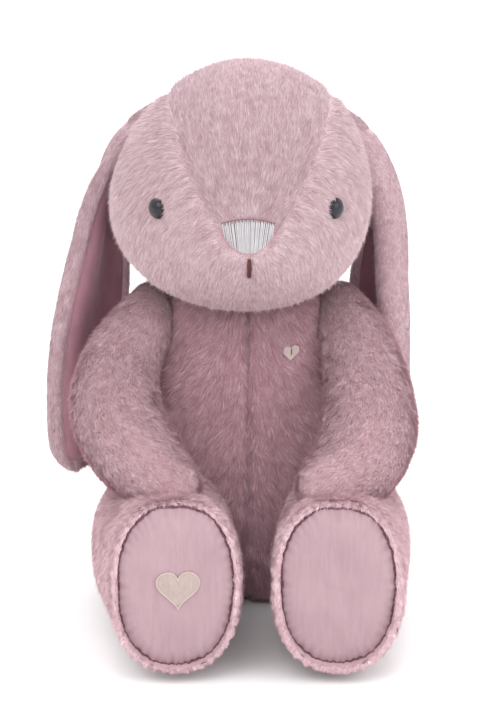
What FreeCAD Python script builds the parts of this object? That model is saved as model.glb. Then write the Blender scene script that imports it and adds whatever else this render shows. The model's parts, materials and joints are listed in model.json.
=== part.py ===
"""A seated plush rabbit with long lop ears, as it is sewn: fabric panels over stuffing.

Millimetres, +Z up, the rabbit faces -Y. The origin is on the floor, at the centre of the
rabbit's footprint. The rabbit's own right side is at -X. Limbs and ears are built on that
side in a frame of their own, and mirrored to the other side.
"""
import FreeCAD, Part
import math
import os

DOC = FreeCAD.newDocument("PlushRabbit")
SHEET = DOC.addObject("Spreadsheet::Sheet", "Sizes")

# Driving dimensions: alias, value, what it is. Lengths in millimetres, angles in degrees.
SIZES = (
    ("wall", 1.6, "thickness of a fabric panel with its backing"),
    ("ease", 0.2, "gap left between stuffing and fabric"),
    ("thread", 1.2, "height of embroidery above the fabric"),
    ("reach", 400.0, "side of the blocks that divide covers into panels"),
    ("torso_back", 44.3, "torso centre behind the origin"),
    ("head_back", 39.3, "head centre behind the origin"),
    ("head_level", 234.0, "head centre above the floor"),
    ("head_half_width", 70.0, "head, side to side"),
    ("head_half_depth", 73.0, "head, front to back"),
    ("head_half_height", 65.0, "head, top to bottom"),
    ("gusset_nose", 16.0, "half width of the forehead strip at the nose"),
    ("gusset_brow", 52.0, "half width of the forehead strip at its top"),
    ("gusset_foot", 212.0, "level where the forehead strip starts"),
    ("gusset_turn", 286.0, "level where the forehead strip stops widening"),
    ("gusset_rear", 50.0, "where the forehead strip meets the back of the head"),
    ("neck_level", 148.0, "centre of the neck ball above the floor"),
    ("neck_ball", 25.0, "radius of the neck ball"),
    ("ball_gap", 0.6, "gap round a rounded joint"),
    ("eye_side", 47.2, "eye centre from the middle"),
    ("eye_level", 228.5, "eye centre above the floor"),
    ("eye_radius", 6.0, "radius of the eye's dome"),
    ("eye_rise", 4.2, "height of the eye's dome"),
    ("eye_sink", 0.8, "how far the eye's rim sits in the fabric"),
    ("shank_radius", 2.2, "radius of the eye's shank"),
    ("shank_length", 15.0, "length of the eye's shank"),
    ("bore_ease", 0.05, "gap left round the eye and its shank"),
    ("washer_radius", 8.0, "radius of the locking washer"),
    ("washer_thick", 1.4, "thickness of the locking washer"),
    ("washer_depth", 5.0, "depth of the locking washer below the eye's rim"),
    ("nose_half_width", 14.2, "half width of the nose"),
    ("nose_top", 228.5, "level of the nose's top edge"),
    ("nose_height", 19.0, "height of the nose"),
    ("mouth_top", 207.0, "level where the mouth stitch starts"),
    ("mouth_height", 12.0, "length of the mouth stitch"),
    ("mouth_half_width", 1.1, "half width of the mouth stitch"),
    ("heart_side", 24.0, "chest heart from the middle"),
    ("heart_level", 142.0, "chest heart above the floor"),
    ("heart_half", 4.9, "half width of the chest heart"),
    ("sole_heart_half", 11.0, "half width of the heart on the sole"),
    ("sole_heart_side", 2.0, "heart on the sole from the leg's middle"),
    ("seat_thick", 1.6, "thickness of the seat panel"),
    ("pouch_half_width", 44.0, "pellet pouch, side to side"),
    ("pouch_half_depth", 32.0, "pellet pouch, front to back"),
    ("pouch_half_height", 14.0, "pellet pouch, top to bottom"),
    ("pouch_level", 24.0, "pellet pouch centre above the floor"),
    ("tail_radius", 19.0, "radius of the tail"),
    ("tail_behind", 58.0, "tail centre behind the torso centre"),
    ("tail_level", 36.0, "tail centre above the floor"),
    ("shoulder_side", 54.0, "shoulder joint from the middle"),
    ("shoulder_ahead", 10.0, "shoulder joint in front of the torso centre"),
    ("shoulder_level", 157.0, "shoulder joint above the floor"),
    ("shoulder_ball", 17.0, "radius of the arm's rounded top"),
    ("shoulder_ease", 8.0, "gap left in the torso round the arm's top"),
    ("hip_side", 48.0, "hip joint from the middle of the legs"),
    ("hip_ahead", 43.0, "hip joint in front of the torso centre"),
    ("hip_level", 34.7, "hip joint above the floor"),
    ("hip_ball", 31.0, "radius of the leg's rounded top"),
    ("legs_offset", 4.0, "middle of the legs to the left of the body's middle"),
    ("toe_in", 3.2, "angle by which each leg turns inwards"),
    ("sole_reach", 121.0, "sole from the hip"),
    ("sole_half_width", 31.5, "half width of the sole"),
    ("sole_half_height", 41.8, "half height of the sole"),
    ("sole_rise", 54.5, "centre of the sole above the floor"),
    ("sole_thick", 2.0, "thickness of the sole"),
    ("ear_wall", 2.2, "thickness of each layer of the ear"),
)

# Torso cross-sections: name, level, half width, half depth.
TORSO = (
    ("seat", 0.0, 50.0, 38.0),
    ("base", 8.0, 63.0, 47.0),
    ("hips", 30.0, 72.0, 52.0),
    ("belly", 65.0, 71.0, 52.0),
    ("waist", 100.0, 62.0, 46.0),
    ("chest", 130.0, 51.0, 39.0),
    ("yoke", 146.0, 43.0, 34.0),
    ("collar", 155.0, 33.0, 27.0),
)

# Arm cross-sections in the arm's own plane: name, along, aside, heading, radius.
ARM = (
    ("cap", -16.2, 3.0, -14.0, 4.5),
    ("crown", -11.0, 2.0, -14.0, 12.6),
    ("shoulder", 0.0, 0.0, -24.0, 17.0),
    ("upper", 22.0, -14.0, -35.0, 20.0),
    ("elbow", 48.0, -24.0, -8.0, 23.5),
    ("fore", 76.0, -20.0, 17.0, 24.0),
    ("paw", 104.0, -7.0, 31.0, 22.0),
    ("knuckle", 120.0, 2.0, 31.0, 16.0),
    ("tip", 127.5, 6.5, 31.0, 6.0),
)
ARM_ALONG = FreeCAD.Vector(0.12, -0.839, -0.531)
ARM_FACE = FreeCAD.Vector(-0.302, -0.540, 0.785)

# Leg cross-sections in the leg's own frame: name, ahead of the hip, rise, half width, half height.
LEG = (
    ("seatward", -30.0, 0.0, 6.0, 7.0),
    ("buttock", -23.0, 0.0, 20.5, 21.0),
    ("thigh", -9.0, 0.0, 29.5, 29.8),
    ("hip", 3.0, 0.0, 31.0, 31.2),
    ("knee", 45.0, -0.5, 31.8, 32.3),
    ("ankle", 76.0, 5.0, 33.0, 35.4),
    ("instep", 100.0, 14.5, 35.6, 41.8),
    ("rim", 119.0, 19.6, 35.8, 44.4),
)

# Ear cross-sections, right side: name, outward, behind the head centre, level,
# half width, turn of the lining towards the front, bow of the lining.
EAR = (
    ("root", 62.0, 9.0, 279.0, 17.0, 8.0, 1.5),
    ("bend", 75.5, 9.0, 268.0, 21.0, 12.0, 3.0),
    ("high", 84.0, 10.0, 240.0, 24.0, 24.0, 5.0),
    ("upper", 88.0, 12.0, 200.0, 25.0, 36.0, 6.5),
    ("middle", 90.0, 13.0, 150.0, 25.5, 42.0, 7.0),
    ("lower", 89.0, 13.0, 110.0, 24.0, 42.0, 6.5),
    ("end", 86.0, 12.0, 84.0, 18.0, 36.0, 4.0),
    ("tip", 83.0, 11.0, 69.0, 7.0, 30.0, 1.0),
)


SHOULDER_BEHIND = "{torso_back} - {shoulder_ahead}"
HIP_BEHIND = "{torso_back} - {hip_ahead}"
# Stands a cross-section upright, facing along the leg, with its long side up.
UPRIGHT = FreeCAD.Rotation(FreeCAD.Vector(0, 0, 1), FreeCAD.Vector(1, 0, 0), FreeCAD.Vector(0, 1, 0), "XYZ")


class Cells(dict):
    """Names in braces become references to the sheet's cells."""

    def __missing__(self, alias):
        return "Sizes." + alias


def cell(text):
    """An expression with each {alias} pointing at its cell."""
    return text.format_map(Cells())


def value(alias):
    """The number in a cell."""
    return float(SHEET.get(alias))


def fill_sheet():
    """Writes every driving dimension to the sheet and gives its cell an alias."""
    rows = list(SIZES)
    for table, keys in (
        (("torso", TORSO), ("level", "wide", "deep")),
        (("arm", ARM), ("along", "aside", "heading", "radius")),
        (("leg", LEG), ("ahead", "rise", "wide", "high")),
        (("ear", EAR), ("out", "behind", "level", "wide", "turn", "bow")),
    ):
        limb, stations = table
        for station in stations:
            for key, number in zip(keys, station[1:]):
                rows.append((f"{limb}_{station[0]}_{key}", number, f"{limb} cross-section"))
    for row, (alias, number, meaning) in enumerate(rows, start=1):
        SHEET.set(f"A{row}", meaning)
        SHEET.set(f"B{row}", str(number))
        SHEET.setAlias(f"B{row}", alias)
    DOC.recompute()


def bind(item, expressions):
    """Ties an object's properties to the sheet."""
    for name, text in expressions.items():
        item.setExpression(name, cell(text))
    return item


def place(item, across="0", behind="0", level="0", rotation=None):
    """Binds an object's position, after turning it if a rotation is given."""
    if rotation is not None:
        item.Placement = FreeCAD.Placement(FreeCAD.Vector(), rotation)
    return bind(
        item,
        {
            "Placement.Base.x": across,
            "Placement.Base.y": behind,
            "Placement.Base.z": level,
        },
    )


def ellipsoid(name, half_width, half_depth, half_height, behind, level, shrink="0"):
    """An ellipsoid in the middle plane, smaller all round by shrink."""
    item = DOC.addObject("Part::Ellipsoid", name)
    bind(
        item,
        {
            "Radius1": f"{half_height} - ({shrink})",
            "Radius2": f"{half_width} - ({shrink})",
            "Radius3": f"{half_depth} - ({shrink})",
        },
    )
    return place(item, "0", behind, level)


def ball(name, radius, across, behind, level):
    """A sphere."""
    item = bind(DOC.addObject("Part::Sphere", name), {"Radius": radius})
    return place(item, across, behind, level)


def rod(name, radius, height, across="0", behind="0", level="0", rotation=None):
    """A cylinder from its base, along its own Z."""
    item = bind(DOC.addObject("Part::Cylinder", name), {"Radius": radius, "Height": height})
    return place(item, across, behind, level, rotation)


def block(name, across, behind, level):
    """A block of the sheet's reach whose lowest corner is given."""
    item = DOC.addObject("Part::Box", name)
    bind(item, {"Length": "{reach}", "Width": "{reach}", "Height": "{reach}"})
    return place(item, across, behind, level)


def cut(name, base, tool):
    """base without tool."""
    item = DOC.addObject("Part::Cut", name)
    item.Base, item.Tool = base, tool
    return item


def common(name, base, tool):
    """What base and tool share."""
    item = DOC.addObject("Part::Common", name)
    item.Base, item.Tool = base, tool
    return item


def fuse(name, items):
    """Several solids as one."""
    item = DOC.addObject("Part::MultiFuse", name)
    item.Shapes = items
    return item


def mirror(name, source, across="0"):
    """source on the other side of the plane X = across."""
    item = DOC.addObject("Part::Mirroring", name)
    item.Source = source
    item.Normal = FreeCAD.Vector(1, 0, 0)
    return bind(item, {"Base.x": across})


def loft(name, sections):
    """A closed solid through its cross-sections."""
    item = DOC.addObject("Part::Loft", name)
    item.Sections = sections
    item.Solid = True
    item.Ruled = False
    return item


def ellipse(name, major, minor, across, behind, level, rotation=None):
    """An elliptical cross-section."""
    item = DOC.addObject("Part::Ellipse", name)
    bind(item, {"MajorRadius": major, "MinorRadius": minor})
    return place(item, across, behind, level, rotation)


def prism(name, outline, depth, start="0"):
    """An outline drawn in a body's own XZ plane, padded towards -Y by depth from -Y = start."""
    body = DOC.addObject("PartDesign::Body", name)
    sketch = body.newObject("Sketcher::SketchObject", name + "_sketch")
    plane = next(f for f in body.Origin.OriginFeatures if f.Role == "XZ_Plane")
    sketch.AttachmentSupport = [(plane, "")]
    sketch.MapMode = "FlatFace"
    for curve in outline:
        sketch.addGeometry(curve, False)
    sketch.setExpression("AttachmentOffset.Base.z", cell(start))
    pad = body.newObject("PartDesign::Pad", name + "_pad")
    pad.Profile = sketch
    pad.setExpression("Length", cell(depth))
    return body


def polyline(points):
    """Straight edges through the points and back to the first."""
    corners = [FreeCAD.Vector(x, y, 0) for x, y in points]
    return [Part.LineSegment(a, b) for a, b in zip(corners, corners[1:] + corners[:1])]


def heart_outline(half, across=0.0, up=0.0):
    """A heart of the given half width: two lobes as arcs, and two sides to the point."""
    middle = FreeCAD.Vector(across, up, 0)
    lobe = half / 2
    left = FreeCAD.Vector(-lobe, lobe * 0.6, 0)
    right = FreeCAD.Vector(lobe, lobe * 0.6, 0)
    lean = math.radians(35)
    reach = FreeCAD.Vector(math.cos(lean), -math.sin(lean), 0) * lobe
    outer_right = right + reach
    outer_left = FreeCAD.Vector(-outer_right.x, outer_right.y, 0)
    cleft = FreeCAD.Vector(0, lobe * 0.6, 0)
    point = FreeCAD.Vector(0, -half * 0.92, 0)
    top = FreeCAD.Vector(0, lobe, 0)
    crowns = (left + top + middle, right + top + middle)
    corners = [corner + middle for corner in (cleft, outer_left, point, outer_right)]
    return [
        Part.Arc(corners[0], crowns[0], corners[1]),
        Part.LineSegment(corners[1], corners[2]),
        Part.LineSegment(corners[2], corners[3]),
        Part.Arc(corners[3], crowns[1], corners[0]),
    ]


def shield_outline(half, height):
    """The nose: a nearly straight top, sides that round in to a blunt bottom."""
    top = height / 2
    left = FreeCAD.Vector(-half, top * 0.62, 0)
    right = FreeCAD.Vector(half, top * 0.62, 0)
    crown = FreeCAD.Vector(0, top, 0)
    low_left = FreeCAD.Vector(-half * 0.5, -top * 0.78, 0)
    low_right = FreeCAD.Vector(half * 0.5, -top * 0.78, 0)
    side = FreeCAD.Vector(half * 0.86, -top * 0.18, 0)
    return [
        Part.Arc(left, crown, right),
        Part.Arc(right, side, low_right),
        Part.Arc(low_right, FreeCAD.Vector(0, -top, 0), low_left),
        Part.Arc(low_left, FreeCAD.Vector(-side.x, side.y, 0), left),
    ]


def finish(label, item):
    """Names a finished sub-part and keeps it for export."""
    item.Label = label
    PARTS.append(item)
    return item


def halves(prefix):
    """Blocks that fill each side of the middle plane above the floor."""
    right = block(prefix + "_right_side", "-{reach}", "-{reach} / 2", "0")
    left = block(prefix + "_left_side", "0", "-{reach} / 2", "0")
    return {"right": right, "left": left}


def make_head():
    """The head's five panels, its stuffing, eyes, washers, nose and mouth."""
    halves_of_head = ("{head_half_width}", "{head_half_depth}", "{head_half_height}")
    spans = (*halves_of_head, "{head_back}", "{head_level}")
    socket = ball("neck_socket", "{neck_ball} + {ball_gap}", "0", "{torso_back}", "{neck_level}")
    outer = ellipsoid("head_outer", *spans)
    inner = ellipsoid("head_inner", *spans, shrink="{wall}")
    cover = cut("head_cover_whole", cut("head_cover", outer, inner), socket)

    eyes = {side: make_eye(side) for side in ("right", "left")}
    tools = fuse("eye_bores", [eyes[side]["bore"] for side in eyes])
    holed = cut("head_cover_holed", cover, tools)

    wedge = polyline(
        [
            (-value("gusset_nose"), value("gusset_foot")),
            (value("gusset_nose"), value("gusset_foot")),
            (value("gusset_brow"), value("gusset_turn")),
            (value("gusset_brow"), value("reach")),
            (-value("gusset_brow"), value("reach")),
            (-value("gusset_brow"), value("gusset_turn")),
        ]
    )
    strip = place(prism("gusset_prism", wedge, "{reach} / 2"), "0", "{gusset_rear}", "0")
    finish("head_gusset", common("gusset", holed, strip))
    rest = cut("head_sides", holed, strip)
    sides = halves("head")
    rear = block("head_rear", "-{reach} / 2", "{gusset_rear}", "0")
    ahead = cut("head_ahead", rest, rear)
    behind = common("head_behind", rest, rear)
    for side, region in sides.items():
        finish(f"cheek_panel_{side}", common("cheek_" + side, ahead, region))
        finish(f"head_back_{side}", common("head_back_panel_" + side, behind, region))

    core = ellipsoid("head_core", *spans, shrink="{wall} + {ease}")
    cavities = fuse("head_cavities", [socket] + [eyes[side]["cavity"] for side in eyes])
    finish("head_stuffing", cut("head_filling", core, cavities))
    for side, eye in eyes.items():
        finish(f"eye_{side}", eye["eye"])
        finish(f"eye_washer_{side}", eye["washer"])

    raised = ellipsoid("head_raised", *spans, shrink="-{thread}")
    relief = cut("face_relief", raised, outer)
    shield = shield_outline(value("nose_half_width"), value("nose_height"))
    nose = prism("nose_prism", shield, "{reach} / 2")
    place(nose, "0", "{head_back}", "{nose_top} - {nose_height} / 2")
    finish("nose_embroidery", common("nose", relief, nose))
    half = value("mouth_half_width")
    low = -value("mouth_height")
    bar = polyline([(-half, low), (half, low), (half, 0), (-half, 0)])
    mouth = place(prism("mouth_prism", bar, "{reach} / 2"), "0", "{head_back}", "{mouth_top}")
    finish("mouth_stitch", common("mouth", relief, mouth))


def head_surface(across, level):
    """The point and outward direction on the front of the head at a place seen from the front."""
    wide, deep, high = (value("head_half_" + key) for key in ("width", "depth", "height"))
    up = level - value("head_level")
    ahead = deep * math.sqrt(1 - (across / wide) ** 2 - (up / high) ** 2)
    normal = FreeCAD.Vector(across / wide**2, -ahead / deep**2, up / high**2)
    return FreeCAD.Vector(across, value("head_back") - ahead, level), normal.normalize()


def make_eye(side):
    """A safety eye: a dome with its shank, its locking washer, and the holes they need."""
    sign = -1 if side == "right" else 1
    point, normal = head_surface(sign * value("eye_side"), value("eye_level"))
    rim = point - normal * value("eye_sink")
    turn = FreeCAD.Rotation(FreeCAD.Vector(0, 0, 1), normal)

    def seat(item, depth=0.0):
        item.Placement = FreeCAD.Placement(rim - normal * depth, turn)
        return item

    def disc(name, radius, height, depth):
        item = bind(DOC.addObject("Part::Cylinder", name), {"Radius": radius, "Height": height})
        return seat(item, depth)

    body = DOC.addObject("PartDesign::Body", "eye_body_" + side)
    sketch = body.newObject("Sketcher::SketchObject", "eye_profile_" + side)
    plane = next(f for f in body.Origin.OriginFeatures if f.Role == "XZ_Plane")
    sketch.AttachmentSupport = [(plane, "")]
    sketch.MapMode = "FlatFace"
    radius, rise = value("eye_radius"), value("eye_rise")
    shank, length = value("shank_radius"), value("shank_length")
    lean = math.radians(50)
    bulge = FreeCAD.Vector(radius * math.sin(lean), rise * math.cos(lean), 0)
    top = FreeCAD.Vector(0, rise, 0)
    edge = FreeCAD.Vector(radius, 0, 0)
    shank_top = FreeCAD.Vector(shank, 0, 0)
    shank_end = FreeCAD.Vector(shank, -length, 0)
    axis_end = FreeCAD.Vector(0, -length, 0)
    corners = [edge, shank_top, shank_end, axis_end, top]
    sketch.addGeometry(Part.Arc(top, bulge, edge), False)
    for start, end in zip(corners, corners[1:]):
        sketch.addGeometry(Part.LineSegment(start, end), False)
    turned = body.newObject("PartDesign::Revolution", "eye_turned_" + side)
    turned.Profile = sketch
    turned.ReferenceAxis = (sketch, ["V_Axis"])
    turned.Angle = 360.0
    seat(body)

    depth = value("washer_depth") + value("washer_thick")
    plate = disc("washer_plate_" + side, "{washer_radius}", "{washer_thick}", depth)
    shank_bore = "{shank_radius} + {bore_ease}"
    hole = disc("washer_hole_" + side, shank_bore, "3 * {washer_thick}", depth + value("washer_thick"))
    pocket = disc(
        "washer_pocket_" + side,
        "{washer_radius} + {ease}",
        "{washer_thick} + 2 * {ease}",
        depth + value("ease"),
    )
    drill_depth = length + 2 * value("bore_ease")
    drill = disc("shank_drill_" + side, shank_bore, "2 * {shank_length}", drill_depth)
    seat_bore = disc("eye_seat_" + side, "{eye_radius} + {bore_ease}", "3 * {eye_rise}", 0.0)
    return {
        "eye": body,
        "washer": cut("washer_" + side, plate, hole),
        "bore": fuse("eye_bore_" + side, [drill, seat_bore]),
        "cavity": fuse("eye_cavity_" + side, [drill, pocket, seat_bore]),
    }


def torso_loft(name, shrink):
    """The torso's form, smaller all round by shrink."""
    sections = []
    for station in TORSO:
        key = "torso_" + station[0]
        level = "{%s_level}" % key
        if station is TORSO[0]:
            level += f" + ({shrink})"
        if station is TORSO[-1]:
            level += f" - ({shrink})"
        sections.append(
            ellipse(
                f"{name}_{station[0]}",
                "{%s_wide} - (%s)" % (key, shrink),
                "{%s_deep} - (%s)" % (key, shrink),
                "0",
                "{torso_back}",
                level,
            )
        )
    form = loft(name + "_loft", sections)
    neck = ball(name + "_neck", f"{{neck_ball}} - ({shrink})", "0", "{torso_back}", "{neck_level}")
    return fuse(name, [form, neck])


def leg_turn(sign):
    """A leg's rotation about its hip. Its own -Y runs to the foot."""
    return FreeCAD.Rotation(FreeCAD.Vector(0, 0, 1), -sign * value("toe_in"))


def make_sockets():
    """The hollows that the arms and legs turn in."""
    tools = []
    for side, sign in (("right", -1), ("left", 1)):
        shoulder = ("{shoulder_side} * %d" % sign, SHOULDER_BEHIND, "{shoulder_level}")
        hip = ("{hip_side} * %d + {legs_offset}" % sign, HIP_BEHIND, "{hip_level}")
        tools.append(ball("shoulder_socket_" + side, "{shoulder_ball} + {shoulder_ease}", *shoulder))
        tools.append(ball("hip_socket_" + side, "{hip_ball} + 2 * {ball_gap}", *hip))
        ahead = leg_turn(sign).multiply(FreeCAD.Rotation(FreeCAD.Vector(1, 0, 0), 90))
        tools.append(rod("leg_path_" + side, "{hip_ball} + {ball_gap}", "{hip_ball}", *hip, ahead))
    return fuse("sockets", tools)


def make_torso():
    """The torso's panels, seat, stuffing, pellet pouch, chest heart and tail."""
    sockets = make_sockets()
    outer = torso_loft("torso_outer", "0")
    inner = torso_loft("torso_inner", "{wall}")
    cover = cut("torso_cover", cut("torso_shell", outer, inner), sockets)
    base = DOC.addObject("Part::Box", "seat_block")
    bind(base, {"Length": "{reach}", "Width": "{reach}", "Height": "{seat_thick}"})
    place(base, "-{reach} / 2", "-{reach} / 2", "0")
    finish("seat_panel", common("seat", cover, base))
    above = cut("torso_sides", cover, base)
    rear = block("torso_rear", "-{reach} / 2", "{torso_back}", "-{reach} / 2")
    front_cover = cut("torso_front", above, rear)
    back_cover = common("torso_back_cover", above, rear)
    for side, region in halves("torso").items():
        finish(f"chest_panel_{side}", common("chest_" + side, front_cover, region))
        finish(f"back_panel_{side}", common("back_" + side, back_cover, region))

    halves_of_pouch = ("{pouch_half_width}", "{pouch_half_depth}", "{pouch_half_height}")
    pouch = (*halves_of_pouch, "{torso_back}", "{pouch_level}")
    room = ellipsoid("pouch_room", *pouch, shrink="-{ease}")
    core = torso_loft("torso_core", "{wall} + {ease}")
    hollows = fuse("torso_hollows", [sockets, room])
    finish("torso_stuffing", cut("torso_filling", core, hollows))
    finish("pellet_pouch", cut("pouch", ellipsoid("pouch_whole", *pouch), sockets))

    raised = torso_loft("torso_raised", "-{thread}")
    relief = cut("chest_relief", raised, outer)
    heart = heart_outline(value("heart_half"))
    tool = prism("chest_heart_prism", heart, "{reach} / 2")
    place(tool, "{heart_side}", "{torso_back}", "{heart_level}")
    finish("chest_heart", common("chest_heart_relief", relief, tool))

    tail = ("0", "{torso_back} + {tail_behind}", "{tail_level}")
    clear = torso_loft("torso_clear", "-{ease}")
    fluff = ball("tail_outer", "{tail_radius}", *tail)
    hollow = ball("tail_inner", "{tail_radius} - {wall}", *tail)
    finish("tail_cover", cut("tail_fur", cut("tail_shell", fluff, hollow), clear))
    wad = ball("tail_core", "{tail_radius} - {wall} - {ease}", *tail)
    finish("tail_stuffing", cut("tail_wad", wad, clear))


def arm_loft(name, shrink):
    """The right arm's form in its own frame: along X, bending in the XY plane."""
    sections = []
    for station in ARM:
        key = "arm_" + station[0]
        turn = FreeCAD.Rotation(FreeCAD.Vector(0, 0, 1), station[3])
        across_path = turn.multiply(FreeCAD.Rotation(FreeCAD.Vector(0, 1, 0), 90))
        along = "{%s_along}" % key
        if station is ARM[0]:
            along += f" + ({shrink})"
        if station is ARM[-1]:
            along += f" - ({shrink})"
        item = DOC.addObject("Part::Circle", f"{name}_{station[0]}")
        bind(item, {"Radius": "{%s_radius} - (%s)" % (key, shrink)})
        sections.append(place(item, along, "{%s_aside}" % key, "0", across_path))
    return loft(name, sections)


def make_arms():
    """Each arm: a top panel, an under panel, and stuffing."""
    shell = cut("arm_shell", arm_loft("arm_outer", "0"), arm_loft("arm_inner", "{wall}"))
    upper = block("arm_upper_side", "-{reach} / 2", "-{reach} / 2", "0")
    pieces = {
        "arm_top_panel": common("arm_top", shell, upper),
        "arm_under_panel": cut("arm_under", shell, upper),
        "arm_stuffing": arm_loft("arm_core", "{wall} + {ease}"),
    }
    turn = FreeCAD.Rotation(ARM_ALONG, FreeCAD.Vector(), ARM_FACE, "XZY")
    for label, item in pieces.items():
        place(item, "-{shoulder_side}", SHOULDER_BEHIND, "{shoulder_level}", turn)
        finish(label + "_right", item)
        finish(label + "_left", mirror(label + "_mirrored", item))


def leg_loft(name, shrink):
    """The right leg's form in its own frame, from the hip along -Y."""
    sections = []
    for station in LEG:
        key = "leg_" + station[0]
        ahead = "-{%s_ahead}" % key
        if station is LEG[0]:
            ahead += f" - ({shrink})"
        sections.append(
            ellipse(
                f"{name}_{station[0]}",
                "{%s_high} - (%s)" % (key, shrink),
                "{%s_wide} - (%s)" % (key, shrink),
                "0",
                ahead,
                "{%s_rise}" % key,
                UPRIGHT,
            )
        )
    return loft(name, sections)


def make_sole(name, shrink, start, depth):
    """An oval slab across the foot's end, in the leg's frame."""
    rim = ellipse(
        name + "_rim",
        f"{{sole_half_height}} - ({shrink})",
        f"{{sole_half_width}} - ({shrink})",
        "0",
        start,
        "{sole_rise} - {hip_level}",
        UPRIGHT,
    )
    slab = DOC.addObject("Part::Extrusion", name)
    slab.Base = rim
    slab.DirMode = "Custom"
    slab.Dir = FreeCAD.Vector(0, 1, 0)
    slab.Solid = True
    return bind(slab, {"LengthFwd": depth})


def make_legs():
    """Each leg: an outer and an inner fur panel, a sole, stuffing, and a heart on the right sole."""
    opening = make_sole("foot_opening", "{wall}", "-{sole_reach}", "4 * {sole_thick}")
    tube = cut("leg_tube", leg_loft("leg_outer", "0"), leg_loft("leg_inner", "{wall}"))
    shell = cut("leg_shell", tube, opening)
    outward = block("leg_outward", "-{reach}", "-{reach} / 2", "-{reach} / 2")
    sole_back = "-{reach} - {leg_rim_ahead} + {sole_thick} + {ease}"
    front = block("leg_front", "-{reach} / 2", sole_back, "-{reach} / 2")
    pieces = {
        "leg_outer_panel": common("leg_outer_half", shell, outward),
        "leg_inner_panel": cut("leg_inner_half", shell, outward),
        "foot_sole": make_sole("sole", "0", "-{sole_reach}", "{sole_reach} - {leg_rim_ahead}"),
        "leg_stuffing": cut("leg_filling", leg_loft("leg_core", "{wall} + {ease}"), front),
    }
    rise = value("sole_rise") - value("hip_level")
    outline = heart_outline(value("sole_heart_half"), value("sole_heart_side"), rise)
    heart = prism("sole_heart", outline, "{thread}", "{sole_reach}")
    for item in (*pieces.values(), heart):
        place(item, "-{hip_side} + {legs_offset}", HIP_BEHIND, "{hip_level}", leg_turn(-1))
    for label, item in pieces.items():
        finish(label + "_right", item)
        finish(label + "_left", mirror(label + "_mirrored", item, "{legs_offset}"))
    finish("sole_heart_right", heart)


def ear_wire(station, inside, outside):
    """A cross-section of one ear layer: two bowed sides at the given depths from the lining."""
    key = "ear_" + station[0]
    out, behind, level, wide, turn, bow = (
        value(f"{key}_{name}") for name in ("out", "behind", "level", "wide", "turn", "bow")
    )
    centre = FreeCAD.Vector(-out, value("head_back") + behind, level)
    index = EAR.index(station)
    before, after = EAR[max(index - 1, 0)], EAR[min(index + 1, len(EAR) - 1)]
    run = FreeCAD.Vector(before[1] - after[1], after[2] - before[2], after[3] - before[3]).normalize()
    level_out = FreeCAD.Vector(-1, 0, 0)
    facing = FreeCAD.Rotation(FreeCAD.Vector(0, 0, 1), -turn).multVec(level_out)
    facing = (facing - run * facing.dot(run)).normalize()
    along = run.cross(facing)

    def arc(depth):
        start = centre - along * wide + facing * (depth - bow)
        middle = centre + facing * depth
        end = centre + along * wide + facing * (depth - bow)
        return start, middle, end

    near, far = arc(inside), arc(outside)
    edges = [
        Part.Arc(*near).toShape(),
        Part.LineSegment(near[2], far[2]).toShape(),
        Part.Arc(far[2], far[1], far[0]).toShape(),
        Part.LineSegment(far[0], near[0]).toShape(),
    ]
    return Part.Wire(edges)


def make_ears():
    """Each ear: a fur back and a lining, hanging from its root on the side of the head."""
    thick, gap = value("ear_wall"), value("ease")
    layers = {"ear_lining": (-thick - gap / 2, -gap / 2), "ear_back": (gap / 2, thick + gap / 2)}
    for label, (inside, outside) in layers.items():
        item = DOC.addObject("Part::Feature", label)
        item.Shape = Part.makeLoft([ear_wire(station, inside, outside) for station in EAR], True)
        item.Placement = FreeCAD.Placement()
        finish(label + "_right", item)
        finish(label + "_left", mirror(label + "_mirrored", item))


def check_and_export():
    """Stops on any failed object or bad shape, then writes each sub-part to its own file."""
    for item in DOC.Objects:
        if {"Invalid", "Error"} & set(item.State):
            raise RuntimeError(f"{item.Name} failed: {item.State}")
    for item in PARTS:
        shape = item.Shape
        if shape.isNull() or not shape.isValid() or not shape.Solids:
            raise RuntimeError(f"{item.Label} has no valid solid")
    os.makedirs("parts", exist_ok=True)
    for item in PARTS:
        item.Shape.exportStep(f"parts/{item.Label}.step")
        print(f"{item.Label}: {len(item.Shape.Solids)} solid, {item.Shape.Volume / 1000:.2f} cm3")


PARTS = []
fill_sheet()
make_head()
make_torso()
make_arms()
make_legs()
make_ears()
DOC.recompute()
check_and_export()
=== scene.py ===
"""The looks of a seated plush rabbit with long lop ears: pile, velour, thread and gloss.

Metres, +Z up, the rabbit faces -Y, and its own right side is at -X. Forms are written in
millimetres and scaled once. Every soft form is a closed skin that rides on its body, is
swelled by a cloth pass and then grows pile, strand by strand, along a combed direction.
"""
import json
import logging
import math
from dataclasses import dataclass
from enum import Enum
from functools import partial
from typing import Callable, ClassVar, Iterable, Sequence

import bmesh
import bpy
import numpy as np
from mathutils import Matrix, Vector
from mathutils.bvhtree import BVHTree


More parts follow.
